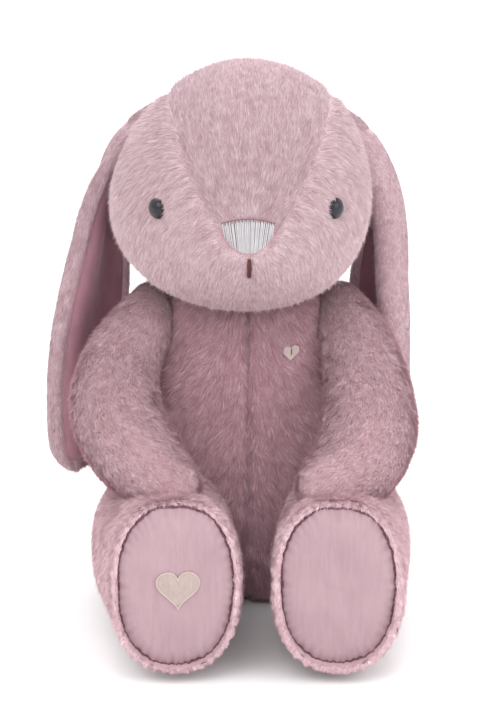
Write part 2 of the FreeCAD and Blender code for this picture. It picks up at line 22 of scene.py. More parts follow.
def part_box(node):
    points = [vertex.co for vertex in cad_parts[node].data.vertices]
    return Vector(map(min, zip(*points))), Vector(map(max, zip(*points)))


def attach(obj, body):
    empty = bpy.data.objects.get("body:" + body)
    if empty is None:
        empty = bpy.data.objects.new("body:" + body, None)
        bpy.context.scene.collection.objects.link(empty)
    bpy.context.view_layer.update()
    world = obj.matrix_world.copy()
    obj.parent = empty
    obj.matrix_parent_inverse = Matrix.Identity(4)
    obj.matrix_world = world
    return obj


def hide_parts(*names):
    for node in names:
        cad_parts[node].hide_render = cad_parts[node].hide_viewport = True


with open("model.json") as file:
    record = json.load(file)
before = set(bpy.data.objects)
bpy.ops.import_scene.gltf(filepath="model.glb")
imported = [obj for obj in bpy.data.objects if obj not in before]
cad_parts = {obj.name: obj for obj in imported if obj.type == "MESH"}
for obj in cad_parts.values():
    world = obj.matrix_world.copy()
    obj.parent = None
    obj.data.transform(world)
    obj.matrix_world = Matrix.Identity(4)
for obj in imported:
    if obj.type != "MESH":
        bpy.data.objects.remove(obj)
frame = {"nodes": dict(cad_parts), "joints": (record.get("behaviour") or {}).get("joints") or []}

LOG = logging.getLogger("rabbit")
MM = 0.001
FLOOR_GAP = 0.15
SKIN_FINENESS = 5
FAR = 99.0
EYES = ("eye_right", "eye_left")
BACKWARD = (0.0, 1.0, 0.0)
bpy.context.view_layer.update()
UP = np.array((0.0, 0.0, 1.0))
Colour = tuple[float, float, float]
Points = np.ndarray
Rule = Callable[[Points], Points]


class Side(Enum):
    """The rabbit's own sides."""

    RIGHT = "right"
    LEFT = "left"

    @property
    def sign(self) -> int:
        """-1 on the right, where X is negative, and 1 on the left."""
        return -1 if self is Side.RIGHT else 1


def display(red: int, green: int, blue: int) -> Colour:
    """The linear colour of a display colour.

    Args:
        red, green, blue: channels from 0 to 255.

    Returns:
        The same colour, linear, from 0 to 1.
    """
    channels = (channel / 255 for channel in (red, green, blue))
    return tuple(c / 12.92 if c < 0.04045 else ((c + 0.055) / 1.055) ** 2.4 for c in channels)


# ---------------------------------------------------------------- node trees


class Term:
    """An output socket on which arithmetic adds Math nodes to its tree."""

    def __init__(self, tree: "Tree", socket: bpy.types.NodeSocket) -> None:
        """Keeps the socket and the tree that it belongs to."""
        self.tree = tree
        self.socket = socket

    def out(self, name: str) -> "Term":
        """Another output of the same node."""
        return Term(self.tree, self.tree.find(self.socket.node.outputs, name))

    def math(self, operation: str, *others: "Term | float") -> "Term":
        """A Math node on this socket and others."""
        return self.tree.math(operation, self, *others)

    def __add__(self, other: "Term | float") -> "Term":
        """self + other"""
        return self.math("ADD", other)

    __radd__ = __add__

    def __mul__(self, other: "Term | float") -> "Term":
        """self * other"""
        return self.math("MULTIPLY", other)

    __rmul__ = __mul__

    def __sub__(self, other: "Term | float") -> "Term":
        """self - other"""
        return self.math("SUBTRACT", other)

    def __gt__(self, other: "Term | float") -> "Term":
        """1 where self is over other, else 0"""
        return self.math("GREATER_THAN", other)


class Tree:
    """Builds a node tree: one method adds any node, and short ones add the commonest."""

    def __init__(self, nodes: bpy.types.NodeTree) -> None:
        """Works on an empty tree."""
        self.nodes = nodes

    @staticmethod
    def find(sockets: Iterable[bpy.types.NodeSocket], key: str | int) -> bpy.types.NodeSocket:
        """A socket by its place, or by its name among those that are in use.

        Args:
            sockets: a node's inputs or outputs.
            key: the place or the name.

        Returns:
            The socket.
        """
        if isinstance(key, int):
            return list(sockets)[key]
        return next(s for s in sockets if s.name == key and s.enabled and not s.is_unavailable)

    def add(
        self, kind: str, settings: dict | None = None, sockets: dict | None = None, output: str | int = 0
    ) -> Term:
        """Adds a node, sets it up, and then fills its inputs.

        Args:
            kind: the node's type.
            settings: its properties, and for a ramp its stops, as (place, colour) pairs.
            sockets: values or Terms by input name or place.
            output: the output to return.

        Returns:
            The chosen output.
        """
        node = self.nodes.nodes.new(kind)
        for name, setting in (settings or {}).items():
            if name == "stops":
                self.set_stops(node.color_ramp, setting)
            else:
                setattr(node, name, setting)
        for key, entry in (sockets or {}).items():
            socket = self.find(node.inputs, key)
            if isinstance(entry, Term):
                self.nodes.links.new(entry.socket, socket)
            else:
                socket.default_value = entry
        return Term(self, self.find(node.outputs, output) if len(node.outputs) else node.inputs[0])

    @staticmethod
    def set_stops(ramp: bpy.types.ColorRamp, stops: Sequence[tuple[float, Colour]]) -> None:
        """Gives a ramp these stops."""
        while len(ramp.elements) < len(stops):
            ramp.elements.new(1.0)
        for element, (place, colour) in zip(ramp.elements, stops):
            element.position = place
            element.color = (*colour, 1.0)

    def math(self, operation: str, *values: Term | float) -> Term:
        """A Math node."""
        return self.add("ShaderNodeMath", {"operation": operation}, dict(enumerate(values)))

    def vector(self, operation: str, *values: Term | tuple, **sockets: Term | float) -> Term:
        """A Vector Math node; its scale is given by name."""
        output = "Value" if operation == "DOT_PRODUCT" else "Vector"
        sockets.update(enumerate(values))
        return self.add("ShaderNodeVectorMath", {"operation": operation}, sockets, output)

    def blend(self, factor: Term | float, first: Term | Colour, second: Term | Colour) -> Term:
        """A colour Mix node.

        Args:
            factor: 0 gives first, 1 gives second.
            first, second: colours or Terms.

        Returns:
            The mixed colour.
        """
        ends = [end if isinstance(end, Term) else (*end, 1.0) for end in (first, second)]
        sockets = {"Factor": factor, "A": ends[0], "B": ends[1]}
        return self.add("ShaderNodeMix", {"data_type": "RGBA", "blend_type": "MIX"}, sockets, "Result")

    def noise(self, scale: float, detail: float, place: Term, roughness: float = 0.5) -> Term:
        """A noise factor, from 0 to 1, about 0.5."""
        sockets = {"Vector": place, "Scale": scale, "Detail": detail, "Roughness": roughness}
        return self.add("ShaderNodeTexNoise", None, sockets)

    def bump(self, height: Term, strength: float, distance: float) -> Term:
        """The normal over small heights; the distance is in metres."""
        values = {"Strength": strength, "Distance": distance, "Height": height}
        return self.add("ShaderNodeBump", None, values)

    def place(self) -> Term:
        """Object coordinates, in metres."""
        return self.add("ShaderNodeTexCoord", output="Object")


# ---------------------------------------------------------------- finishes


@dataclass(frozen=True)
class Finish:
    """What every finish shares: a name and how it scatters light."""

    name: str
    roughness: float = 0.8
    sheen: float = 0.0
    sheen_tint: Colour = (1.0, 1.0, 1.0)

    def surface(self, name: str) -> tuple[bpy.types.Material, Tree, Term]:
        """A new material with its principled shader.

        Args:
            name: the material's name.

        Returns:
            The material, its tree and the shader's output.
        """
        material = bpy.data.materials.new(name)
        material.use_nodes = True
        material.node_tree.nodes.clear()
        tree = Tree(material.node_tree)
        sockets = {
            "Roughness": self.roughness,
            "Sheen Weight": self.sheen,
            "Sheen Roughness": 0.5,
            "Sheen Tint": (*self.sheen_tint, 1.0),
            "Specular IOR Level": 0.25,
        }
        shader = tree.add("ShaderNodeBsdfPrincipled", None, sockets)
        tree.add("ShaderNodeOutputMaterial", None, {"Surface": shader})
        return material, tree, shader

    @staticmethod
    def wire(tree: Tree, shader: Term, name: str, entry: Term | Colour | float) -> None:
        """Feeds one of the shader's inputs with a value or a Term."""
        socket = tree.find(shader.socket.node.inputs, name)
        if isinstance(entry, Term):
            tree.nodes.links.new(entry.socket, socket)
        elif isinstance(entry, tuple):
            socket.default_value = (*entry, 1.0)
        else:
            socket.default_value = entry


@dataclass(frozen=True)
class Pile(Finish):
    """A coat of pile: the shades its strands are shared among, and the knit they stand on."""

    roughness: float = 0.85
    sheen: float = 0.3
    sheen_tint: Colour = (1.0, 0.89, 0.92)
    shades: tuple[Colour, ...] = ()
    knit: Colour = (0.3, 0.2, 0.2)

    def strands(self) -> list[bpy.types.Material]:
        """One material for each shade, darkest first, with a grain that roughens the light."""
        made = []
        for number, shade in enumerate(self.shades):
            material, tree, shader = self.surface(f"{self.name}_strand_{number}")
            grain = tree.noise(900.0, 1.0, tree.place())
            self.wire(tree, shader, "Base Color", shade)
            self.wire(tree, shader, "Roughness", self.roughness - 0.1 + 0.2 * grain)
            made.append(material)
        return made

    def backing(self) -> bpy.types.Material:
        """The knit under the strands: mottled, with a fine tufted bump."""
        material, tree, shader = self.surface(self.name + "_backing")
        place = tree.place()
        tufts = tree.noise(1100.0, 3.0, place)
        drift = tree.noise(60.0, 2.0, place)
        colour = tree.blend(tufts, self.knit, self.shades[1])
        colour = tree.blend(0.5 * drift, colour, self.shades[0])
        self.wire(tree, shader, "Base Color", colour)
        self.wire(tree, shader, "Normal", tree.bump(tufts, 0.6, 0.0006))
        return material


@dataclass(frozen=True)
class Velour(Finish):
    """A short smooth nap with faint streaks where it has been brushed."""

    sheen_tint: Colour = (1.0, 0.9, 0.93)
    light: Colour = (0.6, 0.4, 0.4)
    dark: Colour = (0.5, 0.3, 0.3)
    streak: tuple[float, float, float] = (420.0, 420.0, 60.0)

    def material(self) -> bpy.types.Material:
        """The nap: long streaks, soft patches and a grain of fibre ends."""
        material, tree, shader = self.surface(self.name)
        place = tree.place()
        values = {"Vector": place, "Scale": self.streak}
        brushed = tree.add("ShaderNodeMapping", {"vector_type": "POINT"}, values)
        streaks = tree.noise(1.0, 4.0, brushed, 0.6)
        patches = tree.noise(38.0, 2.0, place)
        grain = tree.noise(1500.0, 2.0, place)
        tone = streaks * 0.45 + patches * 0.35 + grain * 0.2
        stops = [(0.33, self.dark), (0.66, self.light)]
        colour = tree.add("ShaderNodeValToRGB", {"stops": stops}, {0: tone}, "Color")
        self.wire(tree, shader, "Base Color", colour)
        self.wire(tree, shader, "Roughness", 0.7 + 0.25 * grain)
        self.wire(tree, shader, "Normal", tree.bump(streaks * 0.5 + grain * 0.5, 0.45, 0.0005))
        return material


@dataclass(frozen=True)
class Thread(Finish):
    """Twisted embroidery thread."""

    # light is a painted highlight on the crown of the thread, and dark the painted shade between its turns
    # and strands.
    light: Colour = (0.8, 0.8, 0.8)
    dark: Colour = (0.5, 0.5, 0.5)

    def material(self) -> bpy.types.Material:
        """Fine filaments, lighter on the crown of each turn as a painted highlight."""
        material, tree, shader = self.surface(self.name)
        place = tree.place()
        twist_and_highlight = tree.noise(2600.0, 1.0, place)
        drift = tree.noise(250.0, 2.0, place)
        colour = tree.blend(twist_and_highlight * 0.55 + drift * 0.45, self.dark, self.light)
        self.wire(tree, shader, "Base Color", colour)
        self.wire(tree, shader, "Roughness", self.roughness - 0.1 + 0.2 * twist_and_highlight)
        self.wire(tree, shader, "Normal", tree.bump(twist_and_highlight, 0.4, 0.0002))
        return material


@dataclass(frozen=True)
class Moulded(Finish):
    """Moulded plastic: glossy for the eyes, matt for the washers."""

    colour: Colour = (0.02, 0.02, 0.02)
    flecks: Colour = (0.03, 0.03, 0.03)
    coat: float = 0.0

    def material(self) -> bpy.types.Material:
        """Faint flow marks in the colour, and a coat where the piece is polished."""
        material, tree, shader = self.surface(self.name)
        flow = tree.noise(180.0, 3.0, tree.place())
        self.wire(tree, shader, "Base Color", tree.blend(flow, self.colour, self.flecks))
        self.wire(tree, shader, "Roughness", self.roughness * 0.8 + self.roughness * 0.4 * flow)
        self.wire(tree, shader, "Coat Weight", self.coat)
        self.wire(tree, shader, "Coat Roughness", 0.04)
        return material


@dataclass(frozen=True)
class Cloth(Finish):
    """A plain woven cloth, for the pellet pouch."""

    # A wave texture of scale 1 repeats this many units apart.
    BANDS: ClassVar[float] = 0.314

    warp: Colour = (0.6, 0.6, 0.6)
    weft: Colour = (0.5, 0.5, 0.5)
    pitch: float = 0.0006

    def material(self) -> bpy.types.Material:
        """Warp and weft as crossed waves, in colour and in bump."""
        material, tree, shader = self.surface(self.name)
        place = tree.place()
        waves = []
        for axis in ("X", "Y"):
            settings = {"wave_type": "BANDS", "bands_direction": axis}
            sockets = {"Vector": place, "Scale": self.BANDS / self.pitch, "Distortion": 0.6}
            waves.append(tree.add("ShaderNodeTexWave", settings, sockets, 1))
        weave = waves[0] * waves[1]
        self.wire(tree, shader, "Base Color", tree.blend(weave, self.weft, self.warp))
        self.wire(tree, shader, "Normal", tree.bump(weave, 0.5, 0.0003))
        return material


def shades(*colours: tuple[int, int, int]) -> tuple[Colour, ...]:
    """Several display colours made linear."""
    return tuple(display(*colour) for colour in colours)


COAT = Pile(
    "rose_pile",
    sheen=0.35,
    sheen_tint=(1.0, 0.9, 0.92),
    shades=shades((177, 145, 153), (192, 164, 170), (206, 182, 187), (219, 201, 205)),
    knit=display(168, 132, 141),
)
# Painted shade: a darker copy of the same coat for the forehead strip, standing in for the shade that its
# nap shows under the light.
BROW_SHADED = Pile(
    "brow_pile_shaded",
    shades=shades((163, 131, 139), (178, 149, 156), (192, 167, 173), (206, 186, 190)),
)
# Painted shade: a slightly darker copy of the same coat for the ears' backs, standing in for the shade they
# show.
EAR_SHADED = Pile(
    "ear_pile_shaded",
    shades=shades((168, 133, 142), (184, 153, 161), (197, 170, 177), (210, 189, 194)),
)
# Painted shade: a more saturated copy of the same coat for the arms, standing in for the deeper shade seen
# in their fur against the nap.
ARM_SHADED = Pile(
    "arm_pile_shaded",
    sheen_tint=(1.0, 0.88, 0.91),
    shades=shades((184, 143, 152), (199, 162, 170), (214, 182, 189), (228, 204, 209)),
)
# Painted light: a lighter, pinker copy of the same coat for the legs, standing in for the light on their
# sides.
SHIN_LIT = Pile(
    "shin_pile_lit",
    sheen_tint=(1.0, 0.88, 0.91),
    shades=shades((190, 153, 161), (206, 172, 179), (221, 192, 198), (234, 212, 216)),
)
# Painted shade: a darker, more saturated copy of the same coat for the torso, which sits in shade under the
# head and between the arms.
TORSO_SHADED = Pile(
    "torso_pile_shaded",
    sheen=0.25,
    sheen_tint=(1.0, 0.86, 0.9),
    shades=shades((162, 119, 130), (178, 137, 147), (194, 155, 165), (210, 177, 186)),
)
NAP = Velour("rose_velour", sheen=0.25, light=display(168, 142, 148), dark=display(154, 126, 134))
LINING = Velour(
    "ear_velour",
    sheen=0.08,
    light=display(158, 119, 130),
    dark=display(136, 96, 108),
    streak=(160.0, 160.0, 60.0),
)
# Painted shadow: the thread round each sole is dark, standing in for the deep shade in the puckered seam.
SEAM_SHADOW_THREAD = Thread("seam_shadow_thread", light=display(124, 82, 95), dark=display(92, 56, 68))
# Painted light and shade: light stands for the lit crowns of the satin, and dark for the shade in the gaps
# between its strands.
SILVER = Thread(
    "silver_thread", roughness=0.5, sheen=0.3, light=display(216, 213, 215), dark=display(150, 146, 150)
)
# Painted shadow: the padding under the satin is dark, so that the gaps between the strands read as shade.
SILVER_GAP_SHADOW = Thread(
    "silver_gap_shadow", roughness=0.7, light=display(134, 128, 132), dark=display(112, 106, 110)
)
ROSE_TICK = Thread("rose_thread", light=display(146, 100, 113), dark=display(112, 72, 85))
BROWN = Thread("brown_thread", light=display(112, 68, 64), dark=display(64, 36, 36))
CREAM = Thread(
    "cream_thread", roughness=0.7, sheen=0.1, light=display(200, 186, 180), dark=display(160, 140, 134)
)
EYE_GLOSS = Moulded(
    "eye_gloss", roughness=0.14, colour=display(22, 20, 28), flecks=display(32, 28, 38), coat=0.3
)
WASHER = Moulded(
    "washer_plastic", roughness=0.5, colour=display(214, 214, 208), flecks=display(202, 202, 196)
)
POUCH = Cloth("pouch_cloth", warp=display(226, 220, 210), weft=display(206, 198, 186))


# ---------------------------------------------------------------- forms


def unit(vectors: Points) -> Points:
    """Vectors of length 1, with those of no length left as they are."""
    length = np.linalg.norm(vectors, axis=-1, keepdims=True)
    return vectors / np.maximum(length, 1e-9)


def smoothly(values: Sequence, at: Points) -> Points:
    """A smooth curve through evenly spaced values.

    Args:
        values: numbers or points, first at 0 and last at 1.
        at: places from 0 to 1.

    Returns:
        The curve's values there.
    """
    knots = np.asarray(values, float)
    last = len(knots) - 1
    place = np.clip(at, 0.0, 1.0) * last
    start = np.minimum(place.astype(int), last - 1)
    part = place - start
    if knots.ndim > 1:
        part = part[..., None]
    before, here = knots[np.maximum(start - 1, 0)], knots[start]
    after, beyond = knots[start + 1], knots[np.minimum(start + 2, last)]
    slope, turn = after - before, 2 * before - 5 * here + 4 * after - beyond
    return here + 0.5 * part * (slope + part * (turn + part * (3 * (here - after) + beyond - before)))


def hump(distance: Points, width: float) -> Points:
    """A soft hump, 1 where the distance is 0 and nearly 0 beyond twice the width."""
    return np.exp(-((distance / width) ** 2))


def place_mesh(name: str, points: Points, faces: Sequence) -> bpy.types.Object:
    """A mesh object at the origin from points in millimetres, with its faces turned outwards."""
    mesh = bpy.data.meshes.new(name)
    mesh.from_pydata((points * MM).tolist(), [], faces)
    mesh.update()
    piece = bpy.data.objects.new(name, mesh)
    bpy.context.scene.collection.objects.link(piece)
    shell = bmesh.new()
    shell.from_mesh(mesh)
    bmesh.ops.recalc_face_normals(shell, faces=shell.faces)
    shell.to_mesh(mesh)
    shell.free()
    mesh.polygons.foreach_set("use_smooth", [True] * len(mesh.polygons))
    return piece


def points_of(mesh: bpy.types.Mesh) -> Points:
    """A mesh's vertices, in millimetres."""
    flat = np.empty(len(mesh.vertices) * 3)
    mesh.vertices.foreach_get("co", flat)
    return flat.reshape(-1, 3) / MM


def set_points(mesh: bpy.types.Mesh, points: Points) -> None:
    """Moves a mesh's vertices to these points, in millimetres."""
    mesh.vertices.foreach_set("co", (points * MM).ravel())
    mesh.update()


def normals_of(mesh: bpy.types.Mesh) -> Points:
    """A mesh's vertex normals."""
    flat = np.empty(len(mesh.vertices) * 3, np.float32)
    mesh.vertex_normals.foreach_get("vector", flat)
    return flat.reshape(-1, 3).astype(float)


def store(mesh: bpy.types.Mesh, name: str, values: Points) -> None:
    """Stores a number or a vector for each vertex under a name."""
    kind, key = ("FLOAT_VECTOR", "vector") if values.ndim > 1 else ("FLOAT", "value")
    layer = mesh.attributes.new(name, kind, "POINT")
    layer.data.foreach_set(key, values.astype(np.float32).ravel())


def globe(fineness: int) -> tuple[Points, list]:
    """An evenly divided unit sphere.

    Args:
        fineness: how often the twenty sides are divided.

    Returns:
        Its points, and its faces as tuples of point numbers.
    """
    ball = bmesh.new()
    bmesh.ops.create_icosphere(ball, subdivisions=fineness, radius=1.0)
    points = np.array([vertex.co[:] for vertex in ball.verts])
    faces = [tuple(vertex.index for vertex in face.verts) for face in ball.faces]
    ball.free()
    return points, faces


def evaluated(piece: bpy.types.Object, name: str) -> bpy.types.Object:
    """A plain copy of an object as its modifiers leave it, which takes the object's place."""
    graph = bpy.context.evaluated_depsgraph_get()
    mesh = bpy.data.meshes.new_from_object(piece.evaluated_get(graph), depsgraph=graph)
    mesh.name = name
    bpy.data.objects.remove(piece)
    plain = bpy.data.objects.new(name, mesh)
    bpy.context.scene.collection.objects.link(plain)
    return plain


@dataclass
class Swell:
    """The cloth pass that fills a skin: air inside pushes it out between the pinned seams."""

    pressure: float = 4.0
    frames: int = 20
    cap: float = 4.0
    slack: float = 0.03

    def fill(self, piece: bpy.types.Object, pinned: Points) -> None:
        """Swells a closed skin in place.

        Args:
            piece: the skin.
            pinned: for each vertex, 1 where a seam holds it and 0 where it is free.
        """
        mesh = piece.data
        before = points_of(mesh)
        group = piece.vertex_groups.new(name="seams")
        for index in np.nonzero(pinned > 0.02)[0]:
            group.add([int(index)], float(pinned[index]), "REPLACE")
        cloth = piece.modifiers.new("filling", "CLOTH")
        settings = cloth.settings
        settings.quality = 4
        settings.mass = 0.3
        settings.use_pressure = True
        settings.uniform_pressure_force = self.pressure
        settings.tension_stiffness = 20.0
        settings.bending_stiffness = 1.5
        settings.shrink_min = -self.slack
        settings.vertex_group_mass = group.name
        settings.effector_weights.gravity = 0.0
        cloth.collision_settings.use_collision = False
        cloth.point_cache.frame_start = 1
        cloth.point_cache.frame_end = self.frames
        scene = bpy.context.scene
        for number in range(1, self.frames + 1):
            scene.frame_set(number)
        graph = bpy.context.evaluated_depsgraph_get()
        after = points_of(piece.evaluated_get(graph).data)
        piece.modifiers.clear()
        piece.vertex_groups.clear()
        scene.frame_set(1)
        move = after - before
        reach = np.linalg.norm(move, axis=1, keepdims=True)
        set_points(mesh, before + move * np.minimum(1.0, self.cap / np.maximum(reach, 1e-6)))


def refine(piece: bpy.types.Object) -> bpy.types.Object:
    """A copy divided once, in the piece's place and under its name."""
    divider = piece.modifiers.new("divide", "SUBSURF")
    divider.levels = divider.render_levels = 1
    return evaluated(piece, piece.name)


@dataclass
class Sausage:
    """A long stuffed form: a smooth path, cross-sections along it and rounded ends.

    Each row of stations is (x, y, z, half width, half depth) in millimetres. back, front and
    square say how square the ends and the sections are: 2 is an ellipse, and more is fuller.
    """

    stations: Sequence[tuple[float, float, float, float, float]]
    upward: tuple[float, float, float]
    back: float = 2.4
    front: float = 2.4
    square: float = 2.0

    def shape(self, directions: Points) -> Points:
        """Maps a unit sphere onto the form.

        Args:
            directions: points of the unit sphere; its -Z end goes to the path's start.

        Returns:
            The form's points.
        """
        along = directions[:, 2]
        exponent = np.where(along < 0, 2 / self.back, 2 / self.front)
        place = 0.5 + 0.5 * np.sign(along) * np.abs(along) ** exponent
        round_off = np.maximum(1 - along**2, 0.0) ** (exponent / 2)
        rows = smoothly(self.stations, place)
        step = 0.01
        ahead, behind = (smoothly(self.stations, place + move)[:, :3] for move in (step, -step))
        run = unit(ahead - behind)
        side = unit(np.cross(run, np.asarray(self.upward)))
        upright = np.cross(side, run)
        around = unit(directions[:, :2])
        around = np.sign(around) * np.abs(around) ** (2 / self.square)
        spans = rows[:, 3:] * round_off[:, None]
        offsets = around * spans
        return rows[:, :3] + side * offsets[:, :1] + upright * offsets[:, 1:]


def grid_faces(rows: int, columns: int) -> list[tuple[int, ...]]:
    """Faces of a tube of rows of points, closed at both ends by one face each."""
    faces = []
    for row in range(rows - 1):
        for column in range(columns):
            beside = (column + 1) % columns
            start, above = row * columns, (row + 1) * columns
            faces.append((start + column, start + beside, above + beside, above + column))
    faces.append(tuple(reversed(range(columns))))
    faces.append(tuple(range((rows - 1) * columns, rows * columns)))
    return faces


# ---------------------------------------------------------------- pile and thread


@dataclass(frozen=True)
class Comb:
    """How a patch of pile grows: strands per square millimetre, their size in millimetres,
    how far they lift off the skin, and how much they stray."""

    density: float = 5.5
    length: float = 5.0
    width: float = 0.42
    lift: float = 0.42
    stray: float = 0.35
    clump: float = 0.45


class ModifierTree:
    """A Geometry Nodes tree with named inputs, which a modifier applies to a mesh."""

    def __init__(self, name: str, inputs: dict[str, str]) -> None:
        """Builds the tree once; every piece made with it shares it.

        Args:
            name: the tree's name.
            inputs: the socket kind of each input after the geometry, by its name.
        """
        self.group = bpy.data.node_groups.new(name, "GeometryNodeTree")
        face = self.group.interface
        face.new_socket("Geometry", in_out="OUTPUT", socket_type="NodeSocketGeometry")
        face.new_socket("Geometry", in_out="INPUT", socket_type="NodeSocketGeometry")
        for label, kind in inputs.items():
            face.new_socket(label, in_out="INPUT", socket_type=f"NodeSocket{kind}")
        tree = Tree(self.group)
        self.inputs = tree.add("NodeGroupInput", output="Geometry")
        tree.add("NodeGroupOutput", None, {"Geometry": self.build(tree)})

    def build(self, tree: Tree) -> Term:
        """Adds the nodes and returns the finished geometry."""
        raise NotImplementedError

    def apply(self, piece: bpy.types.Object, values: dict, name: str) -> bpy.types.Object:
        """Makes the tree's result from a piece, as a plain mesh that takes its place.

        Args:
            piece: the object that the tree works on.
            values: what each named input gets.
            name: the result's name.

        Returns:
            The result.
        """
        bpy.context.scene.collection.objects.link(piece)
        modifier = piece.modifiers.new("tree", "NODES")
        modifier.node_group = self.group
        for item in self.group.interface.items_tree:
            if item.in_out == "INPUT" and item.name in values:
                modifier[item.identifier] = values[item.name]
        return evaluated(piece, name)


class PileTree(ModifierTree):
    """Covers a skin with strands of pile."""

    SIZES = ("Density", "Length", "Width", "Lift", "Stray", "Clump")

    def __init__(self) -> None:
        """Gives the tree its sizes, its seed and its shades."""
        inputs = dict.fromkeys(self.SIZES, "Float")
        inputs["Seed"] = "Int"
        inputs.update({f"Shade {number}": "Material" for number in range(len(COAT.shades))})
        super().__init__("pile", inputs)

    def build(self, tree: Tree) -> Term:
        """Scatters roots, leans a strand from each along the comb, and shares out the shades."""
        size = {name: self.inputs.out(name) for name in self.SIZES}
        seed = self.inputs.out("Seed")
        sockets = {"Mesh": self.inputs, "Density": size["Density"], "Seed": seed}
        roots = tree.add("GeometryNodeDistributePointsOnFaces", {"distribute_method": "RANDOM"}, sockets)
        normal = roots.out("Normal")
        comb = self.attribute(tree, "comb", "FLOAT_VECTOR")
        pile = self.attribute(tree, "pile", "FLOAT")
        place = tree.add("GeometryNodeInputPosition")
        tuft = self.swirl(tree, place, 170.0)
        drift = self.swirl(tree, place, 42.0)
        chance = self.chance(tree, seed, 11, (-1.0,) * 3, (1.0,) * 3, "FLOAT_VECTOR")
        lean = tree.vector("ADD", comb, tree.vector("SCALE", tuft, Scale=size["Clump"] * 2.6))
        lean = tree.vector("ADD", lean, tree.vector("SCALE", drift, Scale=size["Clump"] * 1.8))
        lean = tree.vector("ADD", lean, tree.vector("SCALE", chance, Scale=size["Stray"]))
        proud = tree.vector("SCALE", normal, Scale=tree.vector("DOT_PRODUCT", lean, normal))
        flat = tree.vector("NORMALIZE", tree.vector("SUBTRACT", lean, proud))
        fly = self.chance(tree, seed, 23, 0.0, 1.0)
        lift = size["Lift"] * (0.55 + 0.9 * fly) + (fly > 0.94) * 0.4
        heading = tree.vector("ADD", flat, tree.vector("SCALE", normal, Scale=lift))
        facing = tree.vector("ADD", normal, tree.vector("SCALE", chance, Scale=0.6))
        turn = tree.add(
            "FunctionNodeAxesToRotation",
            {"primary_axis": "X", "secondary_axis": "Z"},
            {"Primary Axis": heading, "Secondary Axis": facing},
        )
        vary = self.chance(tree, seed, 37, 0.65, 1.2)
        sockets = {0: size["Length"] * pile * vary, 1: size["Width"] * vary, 2: 1.0}
        span = tree.add("ShaderNodeCombineXYZ", None, sockets)
        level = tree.noise(260.0, 2.0, place) * 3.4 - 0.1 + self.chance(tree, seed, 41, -1.1, 1.1)
        level = level.math("MAXIMUM", 0.0).math("MINIMUM", len(COAT.shades) - 1.0).math("ROUND")
        settings = {"data_type": "FLOAT", "domain": "POINT"}
        sockets = {"Geometry": roots, "Name": "shade", "Value": level}
        marked = tree.add("GeometryNodeStoreNamedAttribute", settings, sockets)
        sockets = {"Points": marked, "Instance": self.strand(tree), "Rotation": turn, "Scale": span}
        grown = tree.add("GeometryNodeInstanceOnPoints", None, sockets)
        result = tree.add("GeometryNodeRealizeInstances", None, {"Geometry": grown})
        shade = self.attribute(tree, "shade", "FLOAT")
        for number in range(len(COAT.shades)):
            sockets = {
                "Geometry": result,
                "Selection": shade > number - 0.5,
                "Material": self.inputs.out(f"Shade {number}"),
            }
            result = tree.add("GeometryNodeSetMaterial", None, sockets)
        return tree.add("GeometryNodeRemoveAttribute", None, {"Geometry": result, "Name": "shade"})

    @staticmethod
    def attribute(tree: Tree, name: str, kind: str) -> Term:
        """A named attribute of the skin."""
        return tree.add("GeometryNodeInputNamedAttribute", {"data_type": kind}, {"Name": name}, "Attribute")

    @staticmethod
    def swirl(tree: Tree, place: Term, scale: float) -> Term:
        """A vector that wanders from tuft to tuft."""
        colour = tree.noise(scale, 1.0, place).out("Color")
        return tree.vector("SUBTRACT", colour, (0.5, 0.5, 0.5))

    @staticmethod
    def chance(
        tree: Tree, seed: Term, offset: int, low: float | tuple, high: float | tuple, kind: str = "FLOAT"
    ) -> Term:
        """A random value for each strand."""
        sockets = {"Min": low, "Max": high, "Seed": seed + offset}
        return tree.add("FunctionNodeRandomValue", {"data_type": kind}, sockets, "Value")

    @staticmethod
    def strand(tree: Tree) -> Term:
        """One strand: a long triangle from its root at 0 to its tip at X = 1, 1 wide."""
        blade = tree.add("GeometryNodeMeshCircle", {"fill_type": "NGON"}, {"Vertices": 3, "Radius": 1.0})
        sockets = {
            "Geometry": blade,
            "Translation": (1 / 3, 0.0, 0.0),
            "Scale": (2 / 3, 1 / math.sqrt(3), 1.0),
        }
        return tree.add("GeometryNodeTransform", None, sockets)

    def grow(
        self, name: str, skin: bpy.types.Object, comb: Comb, keep: Rule, seed: int, strands: Sequence
    ) -> bpy.types.Object:
        """Grows pile on part of a skin.

        Args:
            name: the pile's name.
            skin: the skin, with the attributes comb and pile.
            comb: how the strands grow.
            keep: tells from face centres, in millimetres, which faces bear this patch.
            seed: for the scatter.
            strands: the shades' materials, darkest first.

        Returns:
            The strands as a plain mesh.
        """
        patch = bpy.data.objects.new(name + "_patch", skin.data.copy())
        shell = bmesh.new()
        shell.from_mesh(patch.data)
        centres = np.array([face.calc_center_median()[:] for face in shell.faces]) / MM
        bare = [face for face, kept in zip(shell.faces, keep(centres)) if not kept]
        bmesh.ops.delete(shell, geom=bare, context="FACES")
        shell.to_mesh(patch.data)
        shell.free()
        sizes = (comb.density * 1e6, comb.length * MM, comb.width * MM, comb.lift, comb.stray, comb.clump)
        values = dict(zip(self.SIZES, sizes), Seed=seed)
        values.update({f"Shade {number}": material for number, material in enumerate(strands)})
        grown = self.apply(patch, values, name)
        points = points_of(grown.data)
        points[:, 2] = np.maximum(points[:, 2], FLOOR_GAP)
        set_points(grown.data, points)
        return grown


